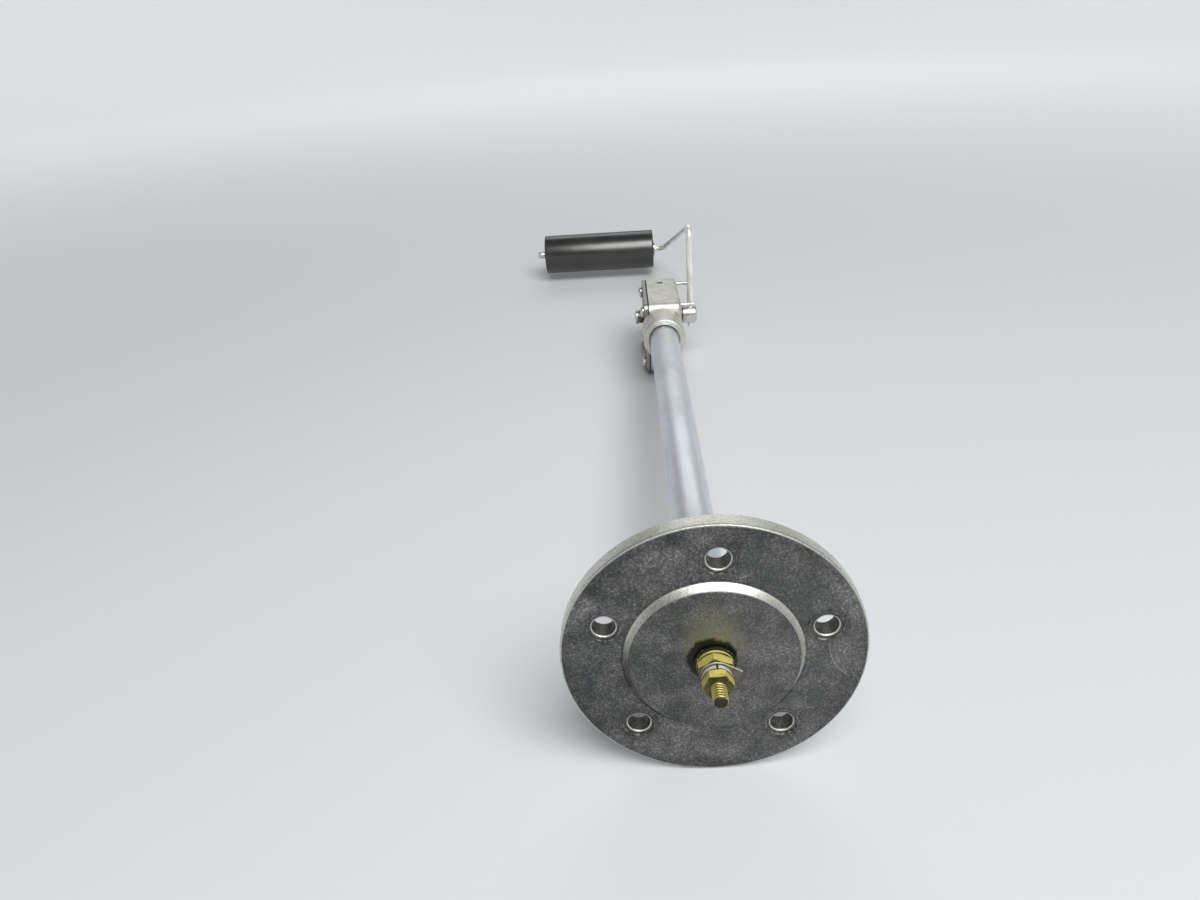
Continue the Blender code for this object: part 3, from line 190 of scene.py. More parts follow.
class FlangeLook(bpy.types.PropertyGroup):
    """Finish of the mounting flange"""

    casting: colour("Casting", "Dark mottled skin of the flange", (0.070, 0.073, 0.078))
    fleck: colour("Flecks", "Pale flecks in the skin", (0.50, 0.49, 0.455))
    # Bare metal of the rim and the hole edges, also the colour of the painted highlight on the boss's
    # edge
    bare_and_highlight: colour("Bare edge", "Handled metal on the rim and the boss edge", (0.78, 0.78, 0.715))
    # Grime round the holes and oil round the terminal, also the colour of the painted shade at the
    # boss's foot
    grime_and_shade: colour("Grime", "Dark grime in the corners and round the holes", (0.030, 0.029, 0.028))
    worn: colour("Worn rim", "Duller patches of the bare metal", (0.30, 0.295, 0.27))
    stain: colour("Stain", "Pale olive stain above the terminal", (0.25, 0.25, 0.17))
    speck: length("Speck", "Size of one pale fleck", 0.5 * MM)
    grain: length("Grain", "Size of one grain of the casting's skin", 0.6 * MM)
    blotch: length("Blotch", "Size of the cloudy patches", 7.0 * MM)
    relief: length("Relief", "Depth of the casting's skin", 0.04 * MM)
    edge_width: length("Rim edge", "Width of the bright band at the rim", 0.8 * MM)
    boss_top: length("Boss top", "Radius of the boss's flat top", 20.1 * MM)
    boss_foot: length("Boss foot", "Radius of the boss at its foot", 21.0 * MM)
    bolt_circle: length("Bolt circle", "Radius of the circle of five holes", 27.0 * MM)
    hole_edge: length("Hole edge", "Radius of the worn edge of a hole", 2.85 * MM)
    spot_edge: length("Spot face", "Radius of the machined ring round a hole", 3.9 * MM)
    stain_reach: length("Stain reach", "How far the stain spreads from the stud", 10.0 * MM)
    scribe_radius: length("Scribed arc", "Radius of the scribed arc by the right hole", 12.3 * MM)
    scribe_width: length("Scribed line", "Width of the scribed arc", 0.22 * MM)
    scratch: length("Scratch", "Width of one scratch", 0.07 * MM)
    roughness: share("Roughness", "Roughness of the casting's skin", 0.48)


class StemLook(bpy.types.PropertyGroup):
    """Finish of the stem tube"""

    metal: colour("Metal", "Drawn tube, slightly blue", (0.72, 0.76, 0.80))
    smudge: colour("Smudge", "Dull smudges on the tube", (0.44, 0.485, 0.54))
    scuff: colour("Scuff", "Pale scuffs across the tube", (0.80, 0.80, 0.79))
    line: length("Draw line", "Width of one drawing line", 0.35 * MM)
    patch: length("Patch", "Size of the smudges", 9.0 * MM)
    relief: length("Relief", "Depth of the drawing lines", 0.006 * MM)
    roughness: share("Roughness", "Roughness of the clean tube", 0.40)


class HeadLook(bpy.types.PropertyGroup):
    """Finish of the sender head and its cover"""

    casting: colour("Casting", "Die cast head", (0.70, 0.695, 0.64))
    shade: colour("Shade", "Duller places of the casting", (0.37, 0.365, 0.335))
    plate: colour("Cover plate", "Cover on the left side", (0.36, 0.36, 0.345))
    # Painted shade: this dark colour is painted over the cover's outer face
    cover_painted_shade: colour("Oxide", "Dark outer face of the cover", (0.060, 0.060, 0.060))
    gasket: colour("Gasket", "Fibre gasket behind the cover", (0.035, 0.030, 0.026))
    bronze: colour("Bronze", "Sintered bushes", (0.30, 0.215, 0.11))
    grain: length("Grain", "Size of one grain of the casting's skin", 0.4 * MM)
    blotch: length("Blotch", "Size of the cloudy patches", 5.0 * MM)
    relief: length("Relief", "Depth of the casting's skin", 0.03 * MM)
    roughness: share("Roughness", "Roughness of the casting's skin", 0.38)


class TerminalLook(bpy.types.PropertyGroup):
    """Finish of the terminal and the stud's thread"""

    brass: colour("Brass", "Clean brass", (0.86, 0.78, 0.20))
    tarnish: colour("Tarnish", "Tarnished brass", (0.40, 0.33, 0.09))
    # Colour for the thread's darker roots, also used for the painted shade on the stud's front end
    root: colour("Thread root", "Dirt in the roots of the thread", (0.035, 0.026, 0.008))
    nickel: colour("Nickel", "Plating of the tag and the spring washer", (0.80, 0.78, 0.69))
    # Painted shade: this dark colour goes on the brass and nickel faces that look outwards
    grime_and_shade: colour("Grime", "Dark grime on the faces that look outwards", (0.045, 0.036, 0.018))
    insulator: colour("Insulator", "Black moulded insulators", (0.014, 0.013, 0.012))
    insulator_shine: share("Insulator shine", "Strength of the insulators' shine", 0.2)
    patch: length("Patch", "Size of the tarnished patches", 1.6 * MM)
    pitch: length("Thread pitch", "Pitch of the stud's thread", 0.794 * MM)
    thread_depth: length("Thread depth", "Depth of the stud's thread", 0.36 * MM)
    chamfer: length("Stud chamfer", "Chamfer at both ends of the stud", 0.45 * MM)
    steps_round: IntProperty(
        name="Steps round",
        description="Steps round the stud",
        default=36,
        min=12,
    )
    steps_per_thread: IntProperty(
        name="Steps per thread",
        description="Rows of points along one turn of the thread",
        default=8,
        min=4,
    )


class SteelLook(bpy.types.PropertyGroup):
    """Finish of the screws, pins, pivot and arm"""

    steel: colour("Steel", "Bright turned steel", (0.66, 0.66, 0.63))
    wire: colour("Wire", "Drawn stainless wire of the arm", (0.96, 0.96, 0.92))
    dull: colour("Dull", "Dull handling marks", (0.42, 0.41, 0.38))
    patch: length("Patch", "Size of the handling marks", 2.6 * MM)
    scratch: length("Scratch", "Width of one scratch", 0.12 * MM)
    roughness: share("Roughness", "Roughness of the bright metal", 0.24)
    wire_satin: share("Wire satin", "How satin the arm's wire is", 0.3)


class FloatLook(bpy.types.PropertyGroup):
    """Finish of the float"""

    rubber: colour("Rubber", "Closed cell float", (0.006, 0.005, 0.004))
    bloom: colour("Bloom", "Paler bloom on the skin", (0.034, 0.031, 0.024))
    cell: length("Cell", "Size of one cell of the skin", 0.55 * MM)
    blotch: length("Blotch", "Size of the cloudy patches", 8.0 * MM)
    relief: length("Relief", "Depth of the skin's cells", 0.025 * MM)
    roughness: share("Roughness", "Roughness of the skin", 0.24)
    shine: share("Shine", "Strength of the skin's shine", 1.0)


class ElementLook(bpy.types.PropertyGroup):
    """Finish of the resistance element inside the head"""

    card: colour("Card", "Fibre card", (0.36, 0.19, 0.075))
    winding: colour("Winding", "Resistance wire", (0.42, 0.38, 0.33))
    contact: colour("Contact", "Silver contact", (0.80, 0.79, 0.76))
    sleeve: colour("Sleeve", "Varnished sleeve of the lead", (0.66, 0.60, 0.44))
    fibre: length("Fibre", "Size of the card's fibres", 0.5 * MM)
    braid: length("Braid", "Size of the sleeve's braid", 0.4 * MM)


class StageLook(bpy.types.PropertyGroup):
    """Floor, lamps and camera"""

    floor: colour("Floor", "Pale floor and sweep", (0.62, 0.635, 0.65))
    rest_height: length("Drop to the floor", "Floor under the flange's rim", 36.13 * MM)
    slope: FloatProperty(
        name="Slope",
        description="Rise of the floor along the stem, as the part lies on its rim and head",
        default=0.0493,
    )
    floor_radius: length("Floor radius", "Flat part of the floor", 1.5)
    sweep_radius: length("Sweep radius", "Radius of the sweep at the floor's edge", 0.5)
    far_glow: share("Far glow", "How much the far floor glows for the camera", 0.68)
    camera_place: place("Camera", "Where the camera stands", (-0.0160, -0.1656, 0.1370))
    camera_aim: place("Aim", "What the camera looks at", (-0.0239, 0.0126, 0.0466))
    camera_roll: FloatProperty(
        name="Roll",
        description="Roll of the camera about its line of sight",
        subtype="ANGLE",
        default=math.radians(-4.04),
    )
    camera_lens: FloatProperty(
        name="Lens",
        description="Focal length for a sensor 36 mm wide",
        unit="CAMERA",
        default=26.3,
    )
    world_level: share("Room light", "Level of the room light", 0.17)
    key_place: place("Key place", "Where the wide lamp over the part stands", (0.28, -0.64, 1.07))
    key_depth: length("Key depth", "Shorter side of the lamp over the part", 0.8)
    key_power: power("Key power", "Wide lamp over the part and in front", 22.0)
    back_place: place("Back place", "Where the wide lamp behind stands", (0.1, 1.25, 0.85))
    back_depth: length("Back depth", "Shorter side of the lamp behind", 0.5)
    back_power: power("Back power", "Wide lamp behind", 3.0)
    lamp_width: length("Lamp width", "Longer side of both lamps", 1.1)


LOOKS = {
    "transmitter_flange": FlangeLook,
    "transmitter_stem": StemLook,
    "transmitter_head": HeadLook,
    "transmitter_terminal": TerminalLook,
    "transmitter_steel": SteelLook,
    "transmitter_float": FloatLook,
    "transmitter_element": ElementLook,
    "transmitter_stage": StageLook,
}


class Field:
    """A number that varies over a surface. Arithmetic on it adds Math nodes."""

    def __init__(self, maker, socket):
        self.maker = maker
        self.socket = socket

    def __add__(self, other):
        return self.maker.math("ADD", self, other)

    __radd__ = __add__

    def __sub__(self, other):
        return self.maker.math("SUBTRACT", self, other)

    def __rsub__(self, other):
        return self.maker.math("SUBTRACT", other, self)

    def __mul__(self, other):
        return self.maker.math("MULTIPLY", self, other)

    __rmul__ = __mul__

    def __abs__(self):
        return self.maker.math("ABSOLUTE", self)

    def root(self):
        return self.maker.math("SQRT", self)

    def rise(self, low, high):
        """0 below low, 1 above high, and smooth between. With low above high it falls."""
        ranged = self.maker.node(
            "ShaderNodeMapRange",
            {"interpolation_type": "SMOOTHSTEP"},
            {"Value": self, "From Min": low, "From Max": high},
        )
        return Field(self.maker, ranged.outputs["Result"])

    def line(self, at, width):
        """1 where the field equals at, fading to 0 at half a width on either side."""
        return abs(self - at).rise(width / 2, 0.0)


class NodeMaker:
    """Makes and links the nodes of one tree."""

    def __init__(self, tree):
        self.tree = tree

    def node(self, kind, settings=None, inputs=None):
        made = self.tree.nodes.new(kind)
        for key, value in (settings or {}).items():
            setattr(made, key, value)
        for key, value in (inputs or {}).items():
            self.feed(made.inputs[key], value)
        return made

    def feed(self, socket, value):
        """Links a field or a socket, and sets anything else as the socket's own value."""
        if isinstance(value, Field):
            value = value.socket
        if isinstance(value, bpy.types.NodeSocket):
            self.tree.links.new(value, socket)
        elif socket.type == "RGBA":
            socket.default_value = (*value, 1.0)
        else:
            socket.default_value = value

    def math(self, operation, *values):
        made = self.node("ShaderNodeMath", {"operation": operation}, dict(enumerate(values)))
        return Field(self, made.outputs[0])


class MeshNodes(NodeMaker):
    """The nodes that change one mesh."""

    def __init__(self, name):
        super().__init__(bpy.data.node_groups.new(name, "GeometryNodeTree"))
        for way in ("INPUT", "OUTPUT"):
            self.tree.interface.new_socket("Geometry", in_out=way, socket_type="NodeSocketGeometry")
        self.mesh = self.node("NodeGroupInput").outputs[0]

    def finish(self, mesh):
        self.node("NodeGroupOutput", None, {0: mesh})
        return self.tree


class Paint(NodeMaker):
    """The nodes of one finish."""

    def __init__(self, name):
        self.material = bpy.data.materials.new(name)
        self.material.use_nodes = True
        super().__init__(self.material.node_tree)
        self.shader = self.tree.nodes["Principled BSDF"]
        self.place = self.node("ShaderNodeTexCoord").outputs["Object"]

    def axes(self):
        parts = self.node("ShaderNodeSeparateXYZ", None, {"Vector": self.place})
        return [Field(self, parts.outputs[axis]) for axis in "XYZ"]

    def stretched(self, stretch, turn=(0.0, 0.0, 0.0)):
        mapped = self.node(
            "ShaderNodeMapping",
            None,
            {"Vector": self.place, "Scale": stretch, "Rotation": turn},
        )
        return mapped.outputs["Vector"]

    def noise(self, size, detail=2.0, rough=0.5, stretch=None, turn=(0.0, 0.0, 0.0), shift=0.0):
        """Cloudy noise between 0 and 1 whose features are about the given size."""
        where = self.stretched(stretch, turn) if stretch else self.place
        if shift:
            moved = self.node(
                "ShaderNodeVectorMath",
                {"operation": "ADD"},
                {0: where, 1: (shift, shift / 2, shift / 3)},
            )
            where = moved.outputs[0]
        made = self.node(
            "ShaderNodeTexNoise",
            {"noise_dimensions": "3D"},
            {"Vector": where, "Scale": 1.0 / size, "Detail": detail, "Roughness": rough},
        )
        return Field(self, made.outputs[0])

    def scratches(self, width, turn, reach=40.0, share_of_lines=0.5):
        """Thin straight scratches in one direction, broken up by a wide noise."""
        lines = self.noise(width * 6, 1.0, 0.5, (1.0, 1.0 / reach, 1.0), turn, 3.1)
        patches = self.noise(width * 45, 1.0, 0.5, shift=7.7)
        return lines.line(0.5, 0.035) * patches.rise(share_of_lines, share_of_lines + 0.1)

    def facing(self, direction):
        """1 where the surface faces a direction of the piece's own, 0 where it is square to it."""
        normal = self.node("ShaderNodeTexCoord").outputs["Normal"]
        made = self.node(
            "ShaderNodeVectorMath",
            {"operation": "DOT_PRODUCT"},
            {0: normal, 1: direction},
        )
        return Field(self, made.outputs["Value"]).rise(0.45, 0.90)

    def blend(self, first, second, factor):
        """Mixes two colours. Inputs 6 and 7 and output 2 are the node's colours."""
        mixed = self.node(
            "ShaderNodeMix",
            {"data_type": "RGBA"},
            {"Factor": factor, 6: first, 7: second},
        )
        return mixed.outputs[2]

    def finish(self, base, roughness, metallic, height=None, depth=0.0):
        self.feed(self.shader.inputs["Base Color"], base)
        self.feed(self.shader.inputs["Roughness"], roughness)
        self.feed(self.shader.inputs["Metallic"], metallic)
        if height is not None:
            bump = self.node("ShaderNodeBump", None, {"Height": height, "Distance": depth})
            self.feed(self.shader.inputs["Normal"], bump.outputs["Normal"])
        return self.material


def nearest_hole(paint, look, x, z):
    """Distance from the nearest of the flange's five holes."""
    nearest = None
    for degrees in BOLT_ANGLES:
        angle = math.radians(degrees)
        across = x - look.bolt_circle * math.sin(angle)
        up = z - look.bolt_circle * math.cos(angle)
        distance = (across * across + up * up).root()
        nearest = distance if nearest is None else paint.math("MINIMUM", nearest, distance)
    return nearest


def scribed_arc(look, x, z):
    """A stretch of an arc scribed by the flange's right hole."""
    across = x - SCRIBE_CENTRE[0]
    up = z - SCRIBE_CENTRE[1]
    arc = (across * across + up * up).root().line(look.scribe_radius, look.scribe_width)
    along = abs(z - SCRIBE_MIDDLE)
    return arc * along.rise(SCRIBE_HALF_LENGTH + 0.3 * MM, SCRIBE_HALF_LENGTH - 0.3 * MM)


def flange_paint(look):
    """Dark cast skin with fine pale flecks, worn edges, machined hole rings and an oily stain, with
    painted light: paler towards the right, a painted highlight on the upper part of the boss's edge and
    painted shade at the boss's foot.
    """
    paint = Paint("flange_casting")
    x, y, z = paint.axes()

    # Places on the flange
    radius = (x * x + z * z).root()
    hole = nearest_hole(paint, look, x, z)
    front = y.rise(FRONT_FACE + 0.3 * MM, FRONT_FACE)
    behind = y.rise(FRONT_FACE + 0.4 * MM, FRONT_FACE + 1.4 * MM)
    mouth = y.rise(FRONT_FACE + 1.3 * MM, FRONT_FACE + 0.9 * MM)
    bore = hole.rise(look.hole_edge, look.hole_edge - 0.12 * MM)
    rim = radius.rise(FLANGE_RADIUS - look.edge_width, FLANGE_RADIUS - look.edge_width / 3)
    near_rim = radius.rise(FLANGE_RADIUS - 8.0 * MM, FLANGE_RADIUS - 1.0 * MM)
    # Painted light: this mask makes the skin grow a little paler towards the right side
    right = x.rise(-0.6 * FLANGE_RADIUS, FLANGE_RADIUS)
    # Painted light: the upper side, leaning to the right, gets the painted highlight on the boss's edge
    # and less painted shade at its foot
    lit_upper_side = (z + x * 0.35).rise(-11.0 * MM, 4.0 * MM)
    boss_slope = radius.rise(look.boss_top - 0.25 * MM, look.boss_top)
    boss_slope = boss_slope * radius.rise(look.boss_foot + 0.35 * MM, look.boss_foot) * front

    # Cast skin with pale and dark flecks, and painted light that makes the skin a little paler towards
    # the right
    cloud = paint.noise(look.blotch, 4.0, 0.62).rise(0.38, 0.66)
    haze = paint.noise(look.blotch * 2.0, 2.0, 0.5, shift=11.0).rise(0.44, 0.68)
    fine = paint.noise(look.speck, 5.0, 0.8)
    grain = paint.noise(look.grain, 4.0, 0.7)
    fleck = fine.rise(0.42, 0.66) * grain.rise(0.34, 0.62)
    dark_fleck = paint.noise(look.speck * 1.4, 4.0, 0.7, shift=5.0).rise(0.48, 0.34)
    bright_fleck = paint.noise(look.speck, 2.0, 0.5, shift=2.0).rise(0.70, 0.76)
    scratch = paint.scratches(look.scratch, (0.2, 0.5, 0.3), 60.0, 0.6)
    scratch = scratch + paint.scratches(look.scratch, (0.1, -0.9, 0.2), 60.0, 0.6)
    arc = scribed_arc(look, x, z) * front
    # Painted light: the right term makes the right side of the flange paler
    pale = cloud * 0.08 + haze * 0.08 + right * 0.07
    pale = pale + fleck * (cloud * 0.35 + haze * 0.25 + 0.35)
    pale = pale + bright_fleck * 0.5 + scratch * 0.25 + arc * 0.7
    skin = paint.blend(look.casting, look.fleck, pale)

    # Bare metal on the rim and round the holes, and a painted highlight on the boss's edge, strongest on
    # its upper side
    broken = paint.noise(1.5 * MM, 2.0, 0.5, shift=9.0).rise(0.40, 0.62)
    rings = hole.line(look.hole_edge, 0.75 * MM)
    rings = rings + hole.line(look.spot_edge, 0.45 * MM) * (broken * 0.5 + 0.1)
    # Painted highlight: the boss's edge is bright mostly on its upper side
    bare_and_highlight = rim * 0.75 + behind * 0.7 + boss_slope * (lit_upper_side * 0.85 + 0.12) + rings * mouth
    bare_and_highlight = bare_and_highlight.rise(0.0, 1.0) * (1.0 - bore * 0.85)
    dull = fleck * 0.5 + grain.rise(0.45, 0.7) * 0.5 + cloud * 0.2
    metal = paint.blend(look.bare_and_highlight, look.worn, dull.rise(0.0, 1.3))
    dry = paint.blend(skin, metal, bare_and_highlight)

    # Olive stain above the terminal, oil round it, grime round the holes, darker inside the holes and
    # near the rim, and painted shade at the boss's foot, heavier on its lower side
    ragged = paint.noise(2.2 * MM, 3.0, 0.6) * (3.4 * MM)
    olive = (radius - z * 0.55 + ragged).rise(look.stain_reach, INSULATOR_RADIUS) * front
    oily = radius - z * 0.18 + x * 0.12 + ragged * 0.6
    oily = oily.rise(INSULATOR_RADIUS + 2.4 * MM, INSULATOR_RADIUS + 1.2 * MM) * front
    # Painted shade: a dark ring in the corner at the boss's foot, lighter on the upper side
    foot = radius.line(look.boss_foot + 0.5 * MM, 1.3 * MM) * front * (1.0 - lit_upper_side * 0.6)
    round_hole = hole.rise(look.spot_edge * 1.7, look.spot_edge) * hole.rise(2.7 * MM, 3.2 * MM)
    grime_and_shade = oily * 0.95 + foot * 0.6 + round_hole * (0.20 + grain * 0.3)
    grime_and_shade = grime_and_shade + dark_fleck * 0.35 + near_rim * (1.0 - haze * 0.7) * 0.3
    grime_and_shade = grime_and_shade * (1.0 - bare_and_highlight * 0.8) + bore * 0.45
    stained = paint.blend(dry, look.stain, olive * (0.45 + grain * 0.4))
    base = paint.blend(stained, look.grime_and_shade, grime_and_shade.rise(0.0, 1.0))

    rough = look.roughness + grain * 0.16 - bare_and_highlight * 0.10 - oily * 0.18
    height = grain * 0.7 + fine * 0.25 - scratch * 0.2 - arc * 0.5
    return paint.finish(base, rough, 1.0, height, look.relief)


def stem_paint(look):
    """Drawn tube: fine lines along the stem, dull smudges and pale scuffs."""
    paint = Paint("stem_tube_metal")
    lines = paint.noise(look.line, 3.0, 0.6, (1.0, 0.012, 1.0))
    smudge = paint.noise(look.patch, 4.0, 0.65, (1.0, 0.35, 1.0)).rise(0.42, 0.72)
    fine = paint.noise(0.35 * MM, 3.0, 0.65)
    scuff = paint.noise(2.2 * MM, 4.0, 0.7, (0.6, 1.6, 0.6), shift=4.0).rise(0.62, 0.74)
    scratch = paint.scratches(0.10 * MM, (0.3, 0.2, 1.2), 30.0)
    dull = smudge * 0.42 + lines.rise(0.5, 0.75) * 0.22 + fine.rise(0.55, 0.75) * 0.22
    worn = paint.blend(look.metal, look.smudge, dull)
    base = paint.blend(worn, look.scuff, scuff * 0.5 + scratch * 0.35)
    rough = look.roughness + smudge * 0.12 + lines * 0.08
    return paint.finish(base, rough, 0.8, lines + fine * 0.4, look.relief)


def head_paint(look):
    """Die cast skin with a fine grain and cloudy duller places."""
    paint = Paint("head_casting")
    fine = paint.noise(look.grain, 3.0, 0.65)
    cloud = paint.noise(look.blotch, 3.0, 0.6).rise(0.36, 0.7)
    pit = paint.noise(look.grain * 1.6, 1.0, 0.5, shift=3.0).rise(0.34, 0.26)
    base = paint.blend(look.casting, look.shade, cloud * 0.35 + fine.rise(0.5, 0.75) * 0.5 + pit * 0.3)
    rough = look.roughness + fine * 0.15 + cloud * 0.08
    return paint.finish(base, rough, 0.95, fine - pit * 0.6, look.relief)


def plate_paint(look):
    """Sheet cover with a faint rolling grain along the stem, and painted shade on its outer face."""
    paint = Paint("cover_sheet")
    rolled = paint.noise(0.3 * MM, 3.0, 0.6, (1.0, 0.03, 1.0))
    cloud = paint.noise(look.blotch, 3.0, 0.6, shift=4.0).rise(0.4, 0.7)
    sheet = paint.blend(look.plate, look.shade, cloud * 0.4 + rolled.rise(0.5, 0.8) * 0.3)
    # Painted shade: the face that looks along -X is made dark
    outer = paint.facing((-1.0, 0.0, 0.0))
    base = paint.blend(sheet, look.cover_painted_shade, outer * (cloud * 0.2 + 0.65))
    rough = 0.38 + cloud * 0.12 + rolled * 0.08
    return paint.finish(base, rough, 1.0, rolled, 0.008 * MM)


def bronze_paint(look):
    """Sintered bronze: fine open pores, brown where oil has soaked in."""
    paint = Paint("sintered_bronze")
    pore = paint.noise(0.16 * MM, 2.0, 0.6).rise(0.42, 0.30)
    soaked = paint.noise(1.2 * MM, 3.0, 0.6).rise(0.40, 0.70)
    base = paint.blend(look.bronze, look.gasket, pore * 0.6 + soaked * 0.35)
    return paint.finish(base, 0.42 + pore * 0.2, 1.0, soaked - pore, 0.01 * MM)


def gasket_paint(look):
    """Pressed fibre, dark and matt."""
    paint = Paint("gasket_fibre")
    fine = paint.noise(0.35 * MM, 3.0, 0.7)
    base = paint.blend(look.gasket, look.shade, fine.rise(0.55, 0.85) * 0.15)
    return paint.finish(base, 0.75 + fine * 0.15, 0.0, fine, 0.03 * MM)


def brass_paint(look, name="aged_brass", thread=False):
    """Aged brass: clean on the flats, brown where it has tarnished, dark in a thread's roots, and
    painted shade on the faces that look outwards and on a stud's front end.
    """
    paint = Paint(name)
    patch = paint.noise(look.patch, 4.0, 0.62).rise(0.40, 0.70)
    fine = paint.noise(0.22 * MM, 2.0, 0.6)
    mark = paint.scratches(0.05 * MM, (0.0, 0.7, 0.0), 25.0)
    aged = patch * 0.55 + fine.rise(0.55, 0.8) * 0.25 - mark * 0.2 + (0.3 if thread else 0.0)
    clean = paint.blend(look.brass, look.tarnish, aged)
    # Painted shade: faces that look along -Y get a dark colour
    painted_front_shade = paint.facing((0.0, -1.0, 0.0))
    base = paint.blend(clean, look.grime_and_shade, painted_front_shade * (patch * 0.1 + fine * 0.1 + 0.87))
    rough = 0.32 + patch * 0.16 + fine * 0.08
    if thread:
        x, y, z = paint.axes()
        radius = (x * x + z * z).root()
        high = STUD_RADIUS - look.thread_depth * 0.25
        root = radius.rise(high, STUD_RADIUS - look.thread_depth * 0.85)
        # Painted shade on the stud's front end, and darker in the thread's roots
        shaded_stud_end = y.rise(STUD_LOW.y + 0.10 * MM, STUD_LOW.y + 0.02 * MM)
        dark = (root * 0.9 + shaded_stud_end * (0.65 + fine * 0.3)).rise(0.0, 1.0)
        base = paint.blend(base, look.root, dark)
        rough = rough + dark * 0.25
    return paint.finish(base, rough, 0.5, fine + patch * 0.5, 0.012 * MM)


def nickel_paint(look):
    """Nickel plate with brown patches, and painted shade on the faces that look outwards."""
    paint = Paint("nickel_plate")
    patch = paint.noise(look.patch, 3.0, 0.6).rise(0.45, 0.75)
    fine = paint.noise(0.2 * MM, 2.0, 0.6)
    clean = paint.blend(look.nickel, look.tarnish, patch * 0.35 + fine.rise(0.5, 0.8) * 0.2)
    # Painted shade: faces that look along -Y get a dark colour
    painted_front_shade = paint.facing((0.0, -1.0, 0.0))
    base = paint.blend(clean, look.grime_and_shade, painted_front_shade * (patch * 0.1 + fine * 0.1 + 0.84))
    return paint.finish(base, 0.34 + patch * 0.16 + fine * 0.06, 0.5, fine, 0.006 * MM)


def insulator_paint(look):
    """Black moulding with a few brass specks on its rim."""
    paint = Paint("black_moulding")
    fine = paint.noise(0.3 * MM, 2.0, 0.6)
    speck = paint.noise(0.45 * MM, 1.0, 0.5, shift=6.0).rise(0.70, 0.74)
    base = paint.blend(look.insulator, look.brass, speck * 0.6)
    paint.shader.inputs["Specular IOR Level"].default_value = look.insulator_shine
    return paint.finish(base, 0.38 + fine * 0.2, 0.0, fine, 0.01 * MM)


def steel_paint(name, metal, look, stretch, satin=0.0):
    """Bright metal with dull handling marks and hairline scratches. Satin takes off its mirror shine."""
    paint = Paint(name)
    patch = paint.noise(look.patch, 3.0, 0.6, stretch).rise(0.42, 0.74)
    fine = paint.noise(0.25 * MM, 2.0, 0.6, stretch)
    mark = paint.scratches(look.scratch, (0.4, 0.2, 0.9), 18.0)
    mark = mark + paint.scratches(look.scratch, (0.1, 1.3, 0.2), 18.0)
    base = paint.blend(metal, look.dull, patch * 0.4 + mark * 0.35)
    rough = look.roughness + patch * 0.12 + fine * 0.06 + satin * 0.3
    return paint.finish(base, rough, 1.0 - satin, fine - mark * 0.5, 0.006 * MM)


def float_paint(look):
    """Closed cell skin: fine cells, a paler bloom and a satin shine."""
    paint = Paint("float_skin")
    cell = paint.noise(look.cell, 3.0, 0.65)
    cloud = paint.noise(look.blotch, 4.0, 0.6, (0.5, 1.0, 1.0)).rise(0.36, 0.72)
    base = paint.blend(look.rubber, look.bloom, cloud * 0.4 + cell.rise(0.5, 0.78) * 0.6)
    rough = look.roughness + cell * 0.08 + cloud * 0.05
    paint.shader.inputs["Specular IOR Level"].default_value = look.shine
    return paint.finish(base, rough, 0.0, cell, look.relief)


def card_paint(look):
    """Brown fibre board."""
    paint = Paint("card_fibre")
    fibre = paint.noise(look.fibre, 4.0, 0.7, (1.0, 0.25, 1.0))
    base = paint.blend(look.card, look.sleeve, fibre.rise(0.5, 0.8) * 0.3)
    return paint.finish(base, 0.6 + fibre * 0.15, 0.0, fibre, 0.02 * MM)


def winding_paint(look):
    """Dull drawn resistance wire."""
    paint = Paint("resistance_wire")
    fine = paint.noise(0.15 * MM, 2.0, 0.6)
    base = paint.blend(look.winding, look.card, fine.rise(0.55, 0.85) * 0.3)
    return paint.finish(base, 0.32 + fine * 0.1, 1.0, fine, 0.004 * MM)


def contact_paint(look):
    """Polished silver with a faint wear."""
    paint = Paint("contact_silver")
    fine = paint.noise(0.15 * MM, 2.0, 0.6)
    base = paint.blend(look.contact, look.winding, fine.rise(0.6, 0.9) * 0.3)
    return paint.finish(base, 0.2 + fine * 0.1, 1.0, fine, 0.003 * MM)


def sleeve_paint(look):
    """Varnished braid, a fine lattice of two slanting weaves."""
    paint = Paint("lead_sleeve")
    x, y, z = paint.axes()
    first = paint.math("SINE", (x + y) * (2 * math.pi / look.braid))
    second = paint.math("SINE", (z - y) * (2 * math.pi / look.braid))
    weave = first * second * 0.5 + 0.5
    base = paint.blend(look.sleeve, look.card, weave * 0.35)
    return paint.finish(base, 0.5, 0.0, weave, 0.03 * MM)


def soft_normals(sharp_degrees):
    """Nodes that shade a solid smooth, apart from edges that bend by more than the given angle."""
    nodes = MeshNodes(f"soft_normals_{sharp_degrees}")
    bend = nodes.node("GeometryNodeInputMeshEdgeAngle").outputs["Unsigned Angle"]
    sharp = nodes.node("FunctionNodeCompare", None, {"A": bend, "B": math.radians(sharp_degrees)})
    normals = nodes.node(
        "GeometryNodeSetMeshNormal",
        None,
        {"Mesh": nodes.mesh, "Remove Custom": True, "Edge Sharpness": sharp.outputs["Result"]},
    )
    return nodes.finish(normals.outputs["Mesh"])


